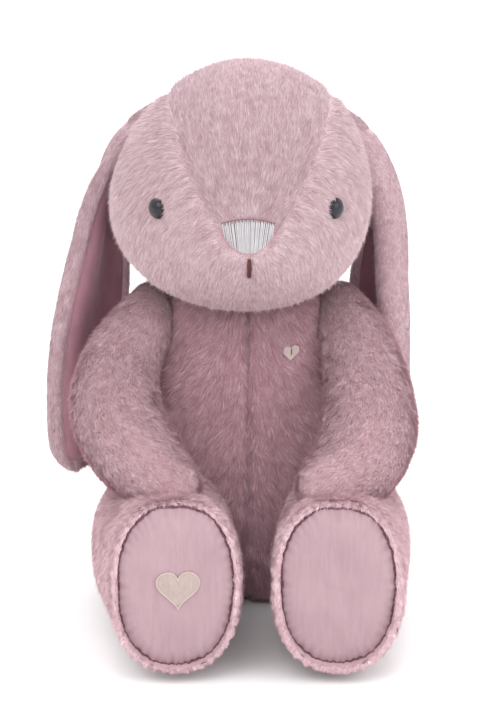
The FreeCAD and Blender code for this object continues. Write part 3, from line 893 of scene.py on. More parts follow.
class ThreadTree(ModifierTree):
    """Turns stitched lines into round thread."""

    def __init__(self) -> None:
        """Gives the tree its radius and its material."""
        super().__init__("thread", {"Radius": "Float", "Material": "Material"})

    def build(self, tree: Tree) -> Term:
        """Sweeps a ring along each line."""
        line = tree.add("GeometryNodeMeshToCurve", None, {"Mesh": self.inputs})
        sockets = {"Resolution": 6, "Radius": self.inputs.out("Radius")}
        ring = tree.add("GeometryNodeCurvePrimitiveCircle", None, sockets)
        sockets = {"Curve": line, "Profile Curve": ring, "Fill Caps": True}
        tube = tree.add("GeometryNodeCurveToMesh", None, sockets)
        whole = tree.add("GeometryNodeRealizeInstances", None, {"Geometry": tube})
        sockets = {"Geometry": whole, "Material": self.inputs.out("Material")}
        return tree.add("GeometryNodeSetMaterial", None, sockets)

    def sew(
        self, name: str, strands: Sequence[Points], radius: float, finish: bpy.types.Material
    ) -> bpy.types.Object:
        """Makes thread along lines.

        Args:
            name: the piece's name.
            strands: each line's points, in millimetres.
            radius: the thread's radius, in millimetres.
            finish: its material.

        Returns:
            The thread as a plain mesh.
        """
        points = np.concatenate(strands)
        edges = []
        start = 0
        for strand in strands:
            edges += [(start + step, start + step + 1) for step in range(len(strand) - 1)]
            start += len(strand)
        mesh = bpy.data.meshes.new(name)
        mesh.from_pydata((points * MM).tolist(), edges, [])
        lines = bpy.data.objects.new(name + "_lines", mesh)
        return self.apply(lines, {"Radius": radius * MM, "Material": finish}, name)


# ---------------------------------------------------------------- sub-assemblies


PILE = PileTree()
THREAD = ThreadTree()
STRANDS = COAT.strands()
BROW_SHADED_STRANDS = BROW_SHADED.strands()
EAR_SHADED_STRANDS = EAR_SHADED.strands()
ARM_SHADED_STRANDS = ARM_SHADED.strands()
SHIN_LIT_STRANDS = SHIN_LIT.strands()
TORSO_SHADED_STRANDS = TORSO_SHADED.strands()
BACKING = COAT.backing()
SEAM_SHADOW = SEAM_SHADOW_THREAD.material()
SOLE_NAP = NAP.material()
EAR_NAP = LINING.material()


def settle(piece: bpy.types.Object, body: str, slot: str, *nodes: str) -> bpy.types.Object:
    """Names a piece's body and the nodes that it stands for, and reports it.

    Args:
        piece: the finished piece.
        body: the body that carries it.
        slot: the record's material slot; not used.
        nodes: the nodes that it replaces.

    Returns:
        The piece.
    """
    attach(piece, body)
    if nodes:
        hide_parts(*nodes)
    LOG.info("%s on %s: %d faces", piece.name, body, len(piece.data.polygons))
    return piece


def middle(node: str) -> tuple[Points, Points]:
    """The centre and half size of a node's box, in millimetres."""
    low, high = (np.array(corner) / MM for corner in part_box(node))
    return (low + high) / 2, (high - low) / 2


def pivot(joint: str) -> Points:
    """A joint's place, in millimetres."""
    entry = next(item for item in frame["joints"] if item["name"] == joint)
    return np.array(entry["pos_m"]) / MM


def clad(piece: bpy.types.Object, material: bpy.types.Material) -> bpy.types.Object:
    """Gives a piece one material."""
    piece.data.materials.clear()
    piece.data.materials.append(material)
    return piece


def search_tree(mesh: bpy.types.Mesh) -> BVHTree:
    """A search tree of a mesh, in metres."""
    return BVHTree.FromPolygons([v.co for v in mesh.vertices], [tuple(p.vertices) for p in mesh.polygons])


def ahead_of(across: Points, surface: float, level: Points) -> Points:
    """Points well in front of a surface, ready to be laid on it.

    Args:
        across: how far each is across.
        surface: how far back the surface stands.
        level: each one's height.

    Returns:
        The points.
    """
    return np.stack([across, np.full(len(level), surface - 40.0), level], axis=1)


class Skin:
    """A body's closed skin: the surface that pile grows on and stitches follow."""

    def __init__(self, name: str, points: Points, faces: Sequence, pinned: Points, swell: Swell) -> None:
        """Builds the skin, fills it, divides it once and clads it in the knit.

        Args:
            name: the skin's name.
            points: its points, in millimetres.
            faces: its faces.
            pinned: how firmly each point is held while the skin is filled.
            swell: how it is filled.
        """
        self.piece = place_mesh(name, points, faces)
        swell.fill(self.piece, pinned)
        self.piece = refine(self.piece)
        clad(self.piece, BACKING)

    def points(self) -> Points:
        """The skin's points, in millimetres."""
        return points_of(self.piece.data)

    def press(self, depth: Points) -> None:
        """Pushes each point in along its normal by a depth in millimetres."""
        mesh = self.piece.data
        set_points(mesh, self.points() - normals_of(mesh) * depth[:, None])

    def brush(self, comb: Points, pile: Points) -> None:
        """Stores the direction in which the pile lies and its length, for each point."""
        store(self.piece.data, "comb", comb)
        store(self.piece.data, "pile", pile)

    def drape(self, lines: Sequence[Points], toward: Sequence[float], proud: float) -> list[Points]:
        """Lays lines on the skin.

        Args:
            lines: points outside the skin, in millimetres.
            toward: the direction in which they are pushed onto it.
            proud: how far above it they stay, in millimetres.

        Returns:
            The lines on the skin.
        """
        search = search_tree(self.piece.data)
        laid = []
        for line in lines:
            row = []
            for point in line:
                place, normal, _, _ = search.ray_cast(Vector(point * MM), Vector(toward))
                if place is not None:
                    row.append(np.array(place) / MM + np.array(normal) * proud)
            if len(row) > 1:
                laid.append(np.array(row))
        return laid


@dataclass(frozen=True)
class Bulge:
    """A soft bulge on a round form: where it points, how far it stands out and how wide it is."""

    toward: tuple[float, float, float]
    height: float
    width: float

    def weight(self, directions: Points) -> Points:
        """How much of the bulge each direction gets, from 0 to 1."""
        return hump(np.linalg.norm(directions - unit(np.array(self.toward)), axis=1), self.width)


@dataclass
class Head:
    """The head: skin, five panels of pile, nose, mouth, eyes and washers."""

    half: tuple[float, float, float] = (70.0, 73.0, 66.4)
    drop: float = 3.0
    # How much the sides widen or narrow beyond this far from the middle.
    broad_from: float = 46.0
    broad_right: float = 1.06
    broad_left: float = 0.84
    # How much narrower each side is above than below.
    pear_right: float = 0.14
    pear_left: float = 0.06
    muzzle: Bulge = Bulge((0.03, -1.0, -0.22), 3.0, 0.42)
    lobes: tuple[Bulge, ...] = (
        Bulge((-0.27, -1.0, -0.5), 1.6, 0.3),
        Bulge((-0.75, -0.62, -0.42), 1.5, 0.45),
        Bulge((0.33, -1.0, -0.5), 1.6, 0.3),
        Bulge((0.75, -0.62, -0.42), 1.5, 0.45),
    )
    # The seams: the forehead strip starts at one level, and a round seam parts front from back.
    seam_from: float = 213.0
    seam_rear: float = 76.0
    strip_tall: float = 74.0
    chin: tuple[float, float] = (16.0, 40.0)
    face_shift: float = 2.0
    groove: float = 2.0
    eye_dip: float = 2.0
    comb: Comb = Comb(density=5.5, length=5.0, lift=0.34, stray=0.3, clump=0.38)
    strip_comb: Comb = Comb(density=6.0, length=4.4, lift=0.2, stray=0.24, clump=0.34)

    def __post_init__(self) -> None:
        """Finds the head's centre from the stuffing that it holds."""
        centre, half = middle("head_stuffing")
        self.centre = np.array((0.0, centre[1], centre[2] + half[2] + 1.8 - self.half[2] - self.drop))

    def seam_side(self, level: Points) -> Points:
        """How far the forehead strip's seams stand from the face's middle at each level."""
        rise = np.clip(level - self.seam_from, 0.0, self.strip_tall)
        return 11.0 + 0.6 * rise - 0.0014 * rise**2

    def seam_distance(self, points: Points) -> Points:
        """How far each point is from the nearest seam: forehead, chin, round the head or down its back."""
        across = np.abs(points[:, 0] - self.face_shift)
        level = points[:, 2]
        ahead = points[:, 1] < self.seam_rear
        forehead = ahead & (level > self.seam_from - 2)
        chin = ahead & (level < self.seam_from - self.chin[0]) & (level > self.seam_from - self.chin[1])
        beside = np.abs(across - self.seam_side(level)) * 0.86
        front = np.where(forehead, beside, np.where(chin, across, FAR))
        spine = np.where(points[:, 1] > self.seam_rear, np.abs(points[:, 0]), FAR)
        return np.minimum(np.minimum(front, np.abs(points[:, 1] - self.seam_rear)), spine)

    def form(self, directions: Points) -> Points:
        """The head's surface: an egg, narrower above and full at the cheeks, with a soft muzzle."""
        points = directions * np.asarray(self.half)
        pear = np.where(directions[:, 0] > 0, self.pear_left, self.pear_right)
        points[:, 0] *= 1 - pear * directions[:, 2]
        points[:, 1] -= self.muzzle.height * self.muzzle.weight(directions)
        for lobe in self.lobes:
            points += lobe.height * lobe.weight(directions)[:, None] * unit(np.array(lobe.toward))
        points += self.centre
        for sign, factor in ((-1, self.broad_right), (1, self.broad_left)):
            beyond = np.maximum(points[:, 0] * sign - self.broad_from, 0.0)
            points[:, 0] += sign * beyond * (factor - 1)
        return points

    def nap(self, points: Points) -> Points:
        """Which way the pile lies: from the nose up over the crown, out from the seams, down the cheeks."""
        across = points[:, 0] - self.face_shift
        level = points[:, 2]
        nose = np.array((self.face_shift, self.centre[1] - self.half[1] - 4.0, self.seam_from + 6.0))
        outward = np.tile((0.0, 0.25, -0.55), (len(points), 1))
        outward[:, 0] = np.sign(across)
        down = np.array((0.0, 0.25, -1.0))
        beyond = np.abs(across) - self.seam_side(level)
        near = np.clip(1 - beyond / 40.0, 0.0, 1.0)[:, None]
        beside = unit(outward * (0.25 + near) + down * (1.1 - near))
        low = np.clip((self.seam_from - level) / 14.0, 0, 1)[:, None]
        beside = unit(beside * (1 - low) + unit(down + outward * 0.3) * low)
        forehead = unit(np.array((0.0, 0.5, 0.75)) - unit(nose - points) * 0.6)
        on_strip = (beyond < 0) & (level > self.seam_from)
        comb = np.where(on_strip[:, None], forehead, beside)
        behind = np.clip((points[:, 1] - self.seam_rear + 4.0) / 4.0, 0, 1)[:, None]
        return unit(comb * (1 - behind) + np.array((0.0, 0.3, -1.0)) * behind)

    def build(self) -> None:
        """Makes every piece of the head."""
        directions, faces = globe(SKIN_FINENESS)
        points = self.form(directions)
        pinned = hump(self.seam_distance(points), 3.0)
        for node in (*EYES, "nose_embroidery"):
            pinned = np.maximum(pinned, hump(self.away(points, node), 11.0))
        skin = Skin("head_skin", points, faces, pinned, Swell(pressure=2.0, cap=0.8))
        points = skin.points()
        below = self.under_mouth(points)
        depth = self.groove * hump(self.seam_distance(points), 2.0) * (1 - 0.8 * below)
        depth *= 1 - 0.6 * np.clip((points[:, 2] - 250.0) / 25.0, 0.0, 1.0)
        for node in EYES:
            depth += self.eye_dip * hump(self.away(points, node) - 5.0, 5.5)
        skin.press(depth)
        points = skin.points()
        skin.brush(self.nap(points), self.pile_length(points, below))
        settle(skin.piece, "head", "fur", "head_stuffing")
        self.grow(skin)
        self.sew_face(skin)
        self.dress_eyes()

    @staticmethod
    def away(points: Points, node: str) -> Points:
        """How far each point is from a node's middle."""
        return np.linalg.norm(points - middle(node)[0], axis=1)

    def under_mouth(self, points: Points) -> Points:
        """1 on the chin under the mouth, where the seam hardly shows, and 0 elsewhere."""
        mouth, size = middle("mouth_stitch")
        below = np.clip((mouth[2] - size[2] - 2.0 - points[:, 2]) / 5.0, 0.0, 1.0)
        return below * (points[:, 1] < self.centre[1])

    def pile_length(self, points: Points, below: Points) -> Points:
        """How long the pile is, as a share: shorter in the seams, at the mouth and around eyes and nose.

        Args:
            points: where it is wanted.
            below: 1 on the chin, as under_mouth says.

        Returns:
            The shares, from 0 to 1.
        """
        pile = 1 - 0.5 * hump(self.seam_distance(points), 1.8) * (1 - below)
        nose = np.linalg.norm((points - middle("nose_embroidery")[0]) / (15.0, 12.0, 11.5), axis=1)
        pile *= np.clip((nose - 0.85) / 0.35, 0.0, 1.0) * 0.75 + 0.25 * np.clip((nose - 1.0) / 1.5, 0, 1)
        for node in EYES:
            pile *= np.clip((self.away(points, node) - 3.9) / 5.0, 0.0, 1.0)
        mouth, size = middle("mouth_stitch")
        offset = (points - mouth) / (1.0, 4.0, 1.0)
        offset[:, 2] = np.maximum(np.abs(offset[:, 2]) - size[2], 0.0)
        return pile * np.clip((np.linalg.norm(offset, axis=1) - 1.2) / 3.5, 0.15, 1.0)

    def grow(self, skin: Skin) -> None:
        """Grows the pile of each panel."""
        panels = {"head_gusset": self.on_gusset}
        for side in Side:
            panels[f"cheek_panel_{side.value}"] = partial(self.on_cheek, side)
            panels[f"head_back_{side.value}"] = partial(self.on_back, side)
        for seed, (node, rule) in enumerate(panels.items(), start=100):
            strip = node == "head_gusset"
            # The forehead strip takes the darker copy of the coat, as painted shade.
            comb, strands = (self.strip_comb, BROW_SHADED_STRANDS) if strip else (self.comb, STRANDS)
            piece = PILE.grow(f"pile_{node}", skin.piece, comb, rule, seed, strands)
            settle(piece, "head", "fur", node)

    def on_gusset(self, points: Points) -> Points:
        """Which points lie on the forehead strip."""
        inside = np.abs(points[:, 0] - self.face_shift) < self.seam_side(points[:, 2])
        return inside & (points[:, 1] < self.seam_rear) & (points[:, 2] > self.seam_from)

    def on_cheek(self, side: Side, points: Points) -> Points:
        """Which points lie on a side's cheek."""
        return ~self.on_gusset(points) & (points[:, 1] < self.seam_rear) & (points[:, 0] * side.sign > 0)

    def on_back(self, side: Side, points: Points) -> Points:
        """Which points lie on a side's back panel."""
        return (points[:, 1] >= self.seam_rear) & (points[:, 0] * side.sign > 0)

    def sew_face(self, skin: Skin) -> None:
        """The satin nose on its padding, which is dark as painted shadow between the strands, the ticks
        along its top, and the mouth.
        """
        centre, half = middle("nose_embroidery")
        across = self.face_shift * 0.5
        chance = np.random.default_rng(7)
        strands, ticks = self.nose_lines(centre, half, across, chance)
        pad = self.nose_pad(skin, centre, half, across)
        laid = skin.drape(strands, BACKWARD, 0.0)
        raised = [self.raise_strand(line, 1.7 + chance.uniform(-0.32, 0.32)) for line in laid]
        nose = THREAD.sew("nose_satin", raised, 0.41, SILVER.material())
        settle(nose, "head", "nose_thread", "nose_embroidery")
        # The padding's dark colour is painted shadow in the gaps of the satin.
        settle(clad(pad, SILVER_GAP_SHADOW.material()), "head", "nose_thread")
        raised = [self.raise_strand(line, 1.7, 0.9) for line in skin.drape(ticks, BACKWARD, 0.0)]
        settle(THREAD.sew("nose_ticks", raised, 0.24, ROSE_TICK.material()), "head", "mouth_thread")
        place, size = middle("mouth_stitch")
        rows = []
        for shift in (-0.45, 0.45):
            levels = np.linspace(size[2], -size[2], 9)
            wave = shift * (1 - 0.5 * (levels / size[2]) ** 2)
            rows.append(ahead_of(across + 0.6 + wave, centre[1], place[2] - 1.0 + levels))
        raised = [self.raise_strand(line, 1.9, 0.9) for line in skin.drape(rows, BACKWARD, 0.0)]
        mouth = THREAD.sew("mouth_thread", raised, 0.75, BROWN.material())
        settle(mouth, "head", "mouth_thread", "mouth_stitch")

    @staticmethod
    def nose_lines(
        centre: Points, half: Points, across: float, chance: np.random.Generator
    ) -> tuple[list[Points], list[Points]]:
        """The nose's lines, in front of the face.

        Args:
            centre, half: the nose's middle and half size.
            across: where the nose's middle line stands.
            chance: shifts each strand a little.

        Returns:
            The satin's strands, which draw together below, and the ticks along the top with its brim.
        """
        count = 30
        strands, ticks = [], []
        for number in range(count):
            side = (number + 0.5) / count * 2 - 1
            top = half[2] * (0.98 - 0.3 * abs(side) ** 2.2)
            bottom = -half[2] * (1.0 - abs(side) ** 2.4) ** 0.7 * 0.98
            x = across + side * half[0] * 0.99 + chance.uniform(-0.2, 0.2)
            levels = np.linspace(top, bottom, 9)
            strands.append(ahead_of(x + 0.2 * side * (levels - top), centre[1], centre[2] + levels))
            if number % 2 == 1:
                tick = np.linspace(top + 0.5, top - 1.1, 3)
                ticks.append(ahead_of(np.full(3, x + 0.25), centre[1], centre[2] + tick))
        spread = np.linspace(-1, 1, 25)
        brim = half[2] * (1.01 - 0.3 * np.abs(spread) ** 2.2)
        ticks.append(ahead_of(across + spread * half[0], centre[1], centre[2] + brim))
        return strands, ticks

    @staticmethod
    def raise_strand(line: Points, crown: float, ends: float = 0.5) -> Points:
        """Lifts a laid strand off the fabric: fully in its middle, and by a share at its ends."""
        part = np.linspace(-1, 1, len(line))
        lifted = line.copy()
        lifted[:, 1] -= crown * (ends + (1 - ends) * (1 - part**4))
        return lifted

    @staticmethod
    def nose_pad(skin: Skin, centre: Points, half: Points, across: float) -> bpy.types.Object:
        """The padding under the satin: a low dome of the nose's outline."""
        rings, spokes = 6, 40
        angles = np.arange(spokes) / spokes * 2 * math.pi
        wide = np.sign(np.cos(angles)) * np.abs(np.cos(angles)) ** 0.8 * half[0] * 0.98
        wide *= 1 - 0.55 * np.clip(-np.sin(angles), 0, 1) ** 1.2
        tall = np.sin(angles) * half[2] * 0.93
        shares = np.arange(rings, 0, -1) / rings
        lines = [ahead_of(across + wide * share, centre[1], centre[2] + tall * share) for share in shares]
        rows = skin.drape(lines, BACKWARD, 0.0)
        for share, row in zip(shares, rows):
            row[:, 1] -= 1.3 * (1 - share**4) - 0.4 * (share == 1)
        return place_mesh("nose_pad", np.concatenate(rows), grid_faces(rings, spokes))

    def dress_eyes(self) -> None:
        """The eyes' gloss and the washers' plastic."""
        gloss, plastic = EYE_GLOSS.material(), WASHER.material()
        for side in Side:
            for node, finish in ((f"eye_{side.value}", gloss), (f"eye_washer_{side.value}", plastic)):
                clad(frame["nodes"][node], finish)
                LOG.info("%s dressed in %s", node, finish.name)


@dataclass
class Torso:
    """The torso: skin, panels of pile, centre seam, chest heart, tail and pellet pouch."""

    rows: tuple = (
        (0.0, 56.0, 46.0),
        (22.0, 72.0, 53.0),
        (44.0, 75.0, 54.0),
        (66.0, 72.0, 53.0),
        (88.0, 66.0, 49.0),
        (110.0, 59.0, 44.0),
        (132.0, 54.0, 40.0),
        (154.0, 54.5, 37.0),
        (176.0, 58.0, 34.0),
    )
    groove: float = 3.0
    comb: Comb = Comb(density=5.0, length=6.0, lift=0.34, stray=0.36, clump=0.6)
    tail_comb: Comb = Comb(density=6.0, length=6.5, lift=0.8, stray=0.6, clump=0.6)

    def __post_init__(self) -> None:
        """Finds the torso's axis."""
        self.behind = float(pivot("neck_nod")[1])

    def build(self) -> None:
        """Makes every piece of the torso."""
        stations = [(0.0, self.behind, level, wide, deep) for level, wide, deep in self.rows]
        directions, faces = globe(SKIN_FINENESS)
        points = Sausage(stations, upward=(0.0, -1.0, 0.0), back=6.0, front=3.2).shape(directions)
        points[:, 2] = np.maximum(points[:, 2], 0.4)
        pinned = np.maximum(hump(self.seam(points), 3.0), points[:, 2] < 1.0)
        skin = Skin("torso_skin", points, faces, pinned, Swell(cap=1.5))
        points = skin.points()
        skin.press(self.groove * hump(self.seam(points), 2.2))
        points = skin.points()
        points[:, 2] = np.maximum(points[:, 2], 0.2)
        set_points(skin.piece.data, points)
        across = points[:, 0]
        comb = np.tile((0.0, 0.0, -1.0), (len(points), 1))
        comb[:, 0] = across * 0.012 + np.sign(across) * 0.22
        pile = (1 - 0.25 * hump(self.seam(points), 2.5)) * np.where(points[:, 2] < 3.0, 0.3, 1.0)
        heart, _ = middle("chest_heart")
        pile *= np.clip((np.linalg.norm((points - heart) * (1, 0.5, 1), axis=1) - 4.0) / 3.0, 0.0, 1.0)
        skin.brush(unit(comb), pile)
        settle(skin.piece, "torso", "fur", "torso_stuffing", "seat_panel")
        faces = (("chest_panel", -1), ("back_panel", 1))
        panels = ((side, panel, face) for side in Side for panel, face in faces)
        for seed, (side, panel, face) in enumerate(panels, start=201):
            node = f"{panel}_{side.value}"
            rule = partial(self.on_panel, side, face)
            # The torso's pile takes the darker copy of the coat, as painted shade.
            pile = PILE.grow(f"pile_{node}", skin.piece, self.comb, rule, seed, TORSO_SHADED_STRANDS)
            settle(pile, "torso", "fur", node)
        self.sew_heart(skin)
        self.grow_tail()
        clad(frame["nodes"]["pellet_pouch"], POUCH.material())

    def seam(self, points: Points) -> Points:
        """How far each point is from the middle seams."""
        return np.abs(points[:, 0] - 1.0)

    def on_panel(self, side: Side, face: int, points: Points) -> Points:
        """Which points lie on one side's chest, where face is -1, or back, where it is 1."""
        beside = (points[:, 0] * side.sign > 0) & ((points[:, 1] - self.behind) * face > 0)
        return beside & (points[:, 2] > 1.0)

    def sew_heart(self, skin: Skin) -> None:
        """The small heart on the chest, satin stitched over a raised middle."""
        centre, half = middle("chest_heart")
        rows = heart_rows(half[0] * 0.9, 9)
        lines = [ahead_of(centre[0] + row[:, 0], centre[1], centre[2] + row[:, 1]) for row in rows]
        heart = THREAD.sew("chest_heart_thread", skin.drape(lines, BACKWARD, 1.9), 0.46, CREAM.material())
        settle(heart, "torso", "heart_thread", "chest_heart")
        levels = np.linspace(0.35, -0.3, 5) * half[0]
        lines = [ahead_of(centre[0] + 0.1 * levels + 0.4, centre[1], centre[2] + levels)]
        stitch = THREAD.sew("chest_heart_stitch", skin.drape(lines, BACKWARD, 2.4), 0.25, BROWN.material())
        settle(stitch, "torso", "heart_thread")

    def grow_tail(self) -> None:
        """The tail: a filled ball under long pile."""
        centre, half = middle("tail_cover")
        centre = centre - (0.0, 2.0, 0.0)
        directions, faces = globe(SKIN_FINENESS - 1)
        form = directions * (half[0] - 1.0) + centre
        skin = Skin("tail_skin", form, faces, np.zeros(len(form)), Swell(cap=1.0))
        points = skin.points()
        comb = unit((points - centre) * (0.5, 0.2, 0.2) + np.array((0.0, 4.0, -9.0)))
        skin.brush(comb, np.ones(len(points)))
        settle(skin.piece, "torso", "fur", "tail_stuffing")
        pile = PILE.grow("pile_tail", skin.piece, self.tail_comb, everywhere, 250, STRANDS)
        settle(pile, "torso", "fur", "tail_cover")


def everywhere(points: Points) -> Points:
    """A rule that keeps every face."""
    return np.ones(len(points), bool)


def heart_rows(half: float, count: int) -> list[Points]:
    """Rows of satin across a heart.

    Args:
        half: the heart's half width, in millimetres.
        count: how many rows there are in each half.

    Returns:
        Each row's ends and middle, as (across, up) pairs.
    """
    rows = []
    for number in range(-count, count + 1):
        across = number / (count + 0.6) * half
        lobe = abs(abs(across) - half * 0.5) / (half * 0.5)
        top = half * (0.28 + 0.52 * math.sqrt(max(0.0, 1 - lobe**2.2)))
        bottom = -half * 0.95 * (1 - abs(across) / half) ** 0.9
        levels = np.linspace(top, bottom, 7)
        rows.append(np.stack([np.full(7, across), levels], axis=1))
    return rows


@dataclass
class Arm:
    """An arm: skin and two panels of pile, curving forward and down from its shoulder."""

    side: Side
    # Along the arm, aside from its chord, radius, all in the plane that the arm bends in.
    rows: tuple = (
        (-17.0, 9.0, 18.5),
        (6.0, -3.0, 20.5),
        (28.0, -17.0, 21.5),
        (52.0, -23.5, 23.5),
        (77.0, -21.5, 24.5),
        (105.0, -10.5, 24.5),
        (134.0, 9.0, 21.5),
    )
    along: tuple[float, float, float] = (0.12, -0.839, -0.531)
    face: tuple[float, float, float] = (-0.302, -0.540, 0.785)
    comb: Comb = Comb(density=5.8, length=4.2, lift=0.34, stray=0.42, clump=0.5)

    def build(self) -> None:
        """Makes the arm."""
        name, sign = self.side.value, self.side.sign
        self.shoulder = pivot(f"arm_raise_{name}")
        mirror = np.array((-sign, 1.0, 1.0))
        along, face = unit(np.array(self.along)), unit(np.array(self.face))
        aside = np.cross(face, along)
        self.normal = face * mirror
        stations = []
        for reach, bend, radius in self.rows:
            centre = self.shoulder + (along * reach + aside * bend) * mirror
            stations.append((*centre, radius, radius * 0.96))
        directions, faces = globe(SKIN_FINENESS)
        points = Sausage(stations, upward=tuple(self.normal), back=2.3, front=2.5).shape(directions)
        pinned = hump(self.above_seam(points), 2.5) * 0.8
        skin = Skin(f"arm_skin_{name}", points, faces, pinned, Swell(cap=1.0))
        skin.press(0.3 * hump(self.above_seam(skin.points()), 2.0))
        points = skin.points()
        spine = np.array([station[:3] for station in stations])
        skin.brush(run_beside(spine, points), np.ones(len(points)))
        body = f"arm_{name}"
        settle(skin.piece, body, "fur", f"arm_stuffing_{name}")
        panels = (("arm_top_panel", 1), ("arm_under_panel", -1))
        for seed, (panel, face) in enumerate(panels, start=300 + 10 * sign):
            node = f"{panel}_{name}"
            rule = partial(self.on_panel, face)
            # The arms' pile takes the more saturated copy of the coat, as painted shade.
            pile = PILE.grow(f"pile_{node}", skin.piece, self.comb, rule, seed, ARM_SHADED_STRANDS)
            settle(pile, body, "fur", node)

    def above_seam(self, points: Points) -> Points:
        """How far each point stands above the plane of the arm's seam."""
        return (points - self.shoulder) @ self.normal

    def on_panel(self, face: int, points: Points) -> Points:
        """Which points lie on the top panel, where face is 1, or under it, where face is -1."""
        return self.above_seam(points) * face > 0


# The left arm hangs lower at the elbow and turns in more sharply at the paw.
LEFT_ARM = (
    (-17.0, 9.0, 18.5),
    (6.0, -2.5, 20.5),
    (29.0, -12.5, 21.5),
    (54.0, -19.0, 23.5),
    (80.0, -21.5, 25.5),
    (106.0, -14.0, 26.0),
    (133.0, 7.0, 22.5),
)


def run_beside(spine: Points, points: Points) -> Points:
    """The direction of a path beside each point.

    Args:
        spine: the path's points.
        points: where the direction is wanted.

    Returns:
        The direction of the path where it passes nearest to each point.
    """
    places = np.linspace(0.02, 0.98, 60)
    line = smoothly(spine, places)
    runs = unit(smoothly(spine, places + 0.02) - smoothly(spine, places - 0.02))
    away = np.linalg.norm(points[:, None, :] - line[None, :, :], axis=2)
    weight = np.exp(-((away - away.min(axis=1, keepdims=True)) / 4.0))
    return unit((weight[:, :, None] * runs[None, :, :]).sum(axis=1))


@dataclass
class Leg:
    """A leg: skin, two panels of pile, a domed sole in a gathered seam, and its heart."""

    side: Side
    # Ahead of the hip, rise, half width, half height.
    rows: tuple = (
        (-31.0, 3.0, 26.0, 27.0),
        (-6.0, 8.0, 34.0, 38.0),
        (19.0, 10.0, 37.2, 41.5),
        (44.0, 9.0, 36.8, 40.5),
        (69.0, 11.0, 34.6, 40.0),
        (94.0, 16.2, 32.4, 42.0),
        (119.0, 17.6, 33.8, 46.6),
    )
    toe_in: float = 3.7
    slim: float = 0.0
    spread: float = 5.0
    sole_half: tuple[float, float] = (30.0, 43.6)
    sole_rise: float = 18.2
    square: float = 2.35
    rim: float = 121.0
    hollow: float = 7.5
    dome: float = 3.6
    tuck: float = 2.2
    puckers: int = 46
    comb: Comb = Comb(density=5.2, length=4.4, lift=0.32, stray=0.38, clump=0.42)

    def build(self) -> None:
        """Makes the leg."""
        name, sign = self.side.value, self.side.sign
        self.hip = pivot(f"leg_splay_{name}")
        turn = math.radians(self.toe_in) * sign
        self.ahead = np.array((-math.sin(turn), -math.cos(turn), 0.0))
        self.across = np.array((math.cos(turn), -math.sin(turn), 0.0))
        stations = [
            (*self.place(reach, rise), wide - self.slim * (reach < 90.0), high)
            for reach, rise, wide, high in self.rows
        ]
        form = Sausage(stations, upward=(0.0, 0.0, 1.0), back=2.2, front=22.0, square=self.square)
        directions, faces = globe(SKIN_FINENESS)
        points = form.shape(directions)
        points[:, 2] = np.maximum(points[:, 2], 0.6)
        held = np.maximum(self.near_sole(points), points[:, 2] < 1.5)
        skin = Skin(f"leg_skin_{name}", points, faces, held, Swell(cap=0.8))
        points = skin.points()
        inside = np.clip((1.02 - self.from_middle(points)) / 0.05, 0, 1) * self.in_front(points)
        points -= self.ahead * self.hollow * inside[:, None]
        points[:, 2] = np.maximum(points[:, 2], 0.4)
        set_points(skin.piece.data, points)
        across, ahead, rise = self.local(points)
        angle = np.arctan2((rise - self.sole_rise) / self.sole_half[1], across / self.sole_half[0])
        near_seam = hump(ahead - self.rim + 3.0, 7.0) * (self.from_middle(points) > 1.0)
        skin.press(0.5 * self.gathers(angle) * near_seam)
        points = skin.points()
        spine = np.array([station[:3] for station in stations])
        outward = np.clip((points - self.hip) / 18.0, -1, 1) * (0.6, 0.0, 0.0)
        comb = run_beside(spine, points) * 0.5 + np.array((0.0, 0.0, -1.0)) + outward
        bald = self.in_front(points) * np.clip((1.03 - self.from_middle(points)) / 0.03, 0, 1)
        pile = (1 - bald) * np.where(points[:, 2] < 2.5, 0.3, 1.0)
        skin.brush(unit(comb), pile * (1 - 0.45 * hump(ahead - self.rim + 2.0, 8.0)))
        body = f"leg_{name}"
        settle(skin.piece, body, "fur", f"leg_stuffing_{name}")
        panels = (("leg_outer_panel", sign), ("leg_inner_panel", -sign))
        for seed, (panel, face) in enumerate(panels, start=400 + 10 * sign):
            node = f"{panel}_{name}"
            rule = partial(self.on_panel, face)
            # The legs' pile takes the lighter copy of the coat, as painted light.
            pile = PILE.grow(f"pile_{node}", skin.piece, self.comb, rule, seed, SHIN_LIT_STRANDS)
            settle(pile, body, "fur", node)
        self.sew_sole(body, name)

    def on_panel(self, face: int, points: Points) -> Points:
        """Which points lie on one panel: the one at +X of the hip, where face is 1, or at -X of it."""
        bare = self.in_front(points) * (self.from_middle(points) < 1.01) >= 0.5
        return (((points - self.hip) @ self.across) * face > 0) & ~bare

    def place(self, reach: float, rise: float) -> Points:
        """A point of the leg's path, which stands a little wider at the hip."""
        aside = self.spread * self.side.sign * max(0.0, 1 - max(reach, 0.0) / 75.0)
        return self.hip + self.ahead * reach + self.across * aside + UP * rise

    def local(self, points: Points) -> tuple[Points, Points, Points]:
        """Points across, ahead of and above the hip."""
        away = points - self.hip
        return away @ self.across, away @ self.ahead, away[:, 2]

    def from_middle(self, points: Points) -> Points:
        """How far each point is from the sole's middle: 1 on its seam."""
        across, _, rise = self.local(points)
        return self.reach(across / self.sole_half[0], (rise - self.sole_rise) / self.sole_half[1])

    def reach(self, across: Points, rise: Points) -> Points:
        """The distance from the sole's middle, measured so that its rounded outline is at 1."""
        return (np.abs(across) ** self.square + np.abs(rise) ** self.square) ** (1 / self.square)

    def in_front(self, points: Points) -> Points:
        """1 at the foot's end, 0 behind it."""
        _, ahead, _ = self.local(points)
        return np.clip((ahead - self.rim + 9.0) / 3.0, 0.0, 1.0)

    def near_sole(self, points: Points) -> Points:
        """1 on the foot's end, where the sole's seam holds the skin."""
        return self.in_front(points) * (self.from_middle(points) < 1.12)

    def gathers(self, angle: Points) -> Points:
        """The waves that the gathering thread draws into the edge."""
        return np.sin(angle * self.puckers + 1.7 * np.sin(angle * 5 + 1.0)) + 0.5 * np.sin(angle * 29 + 2.0)

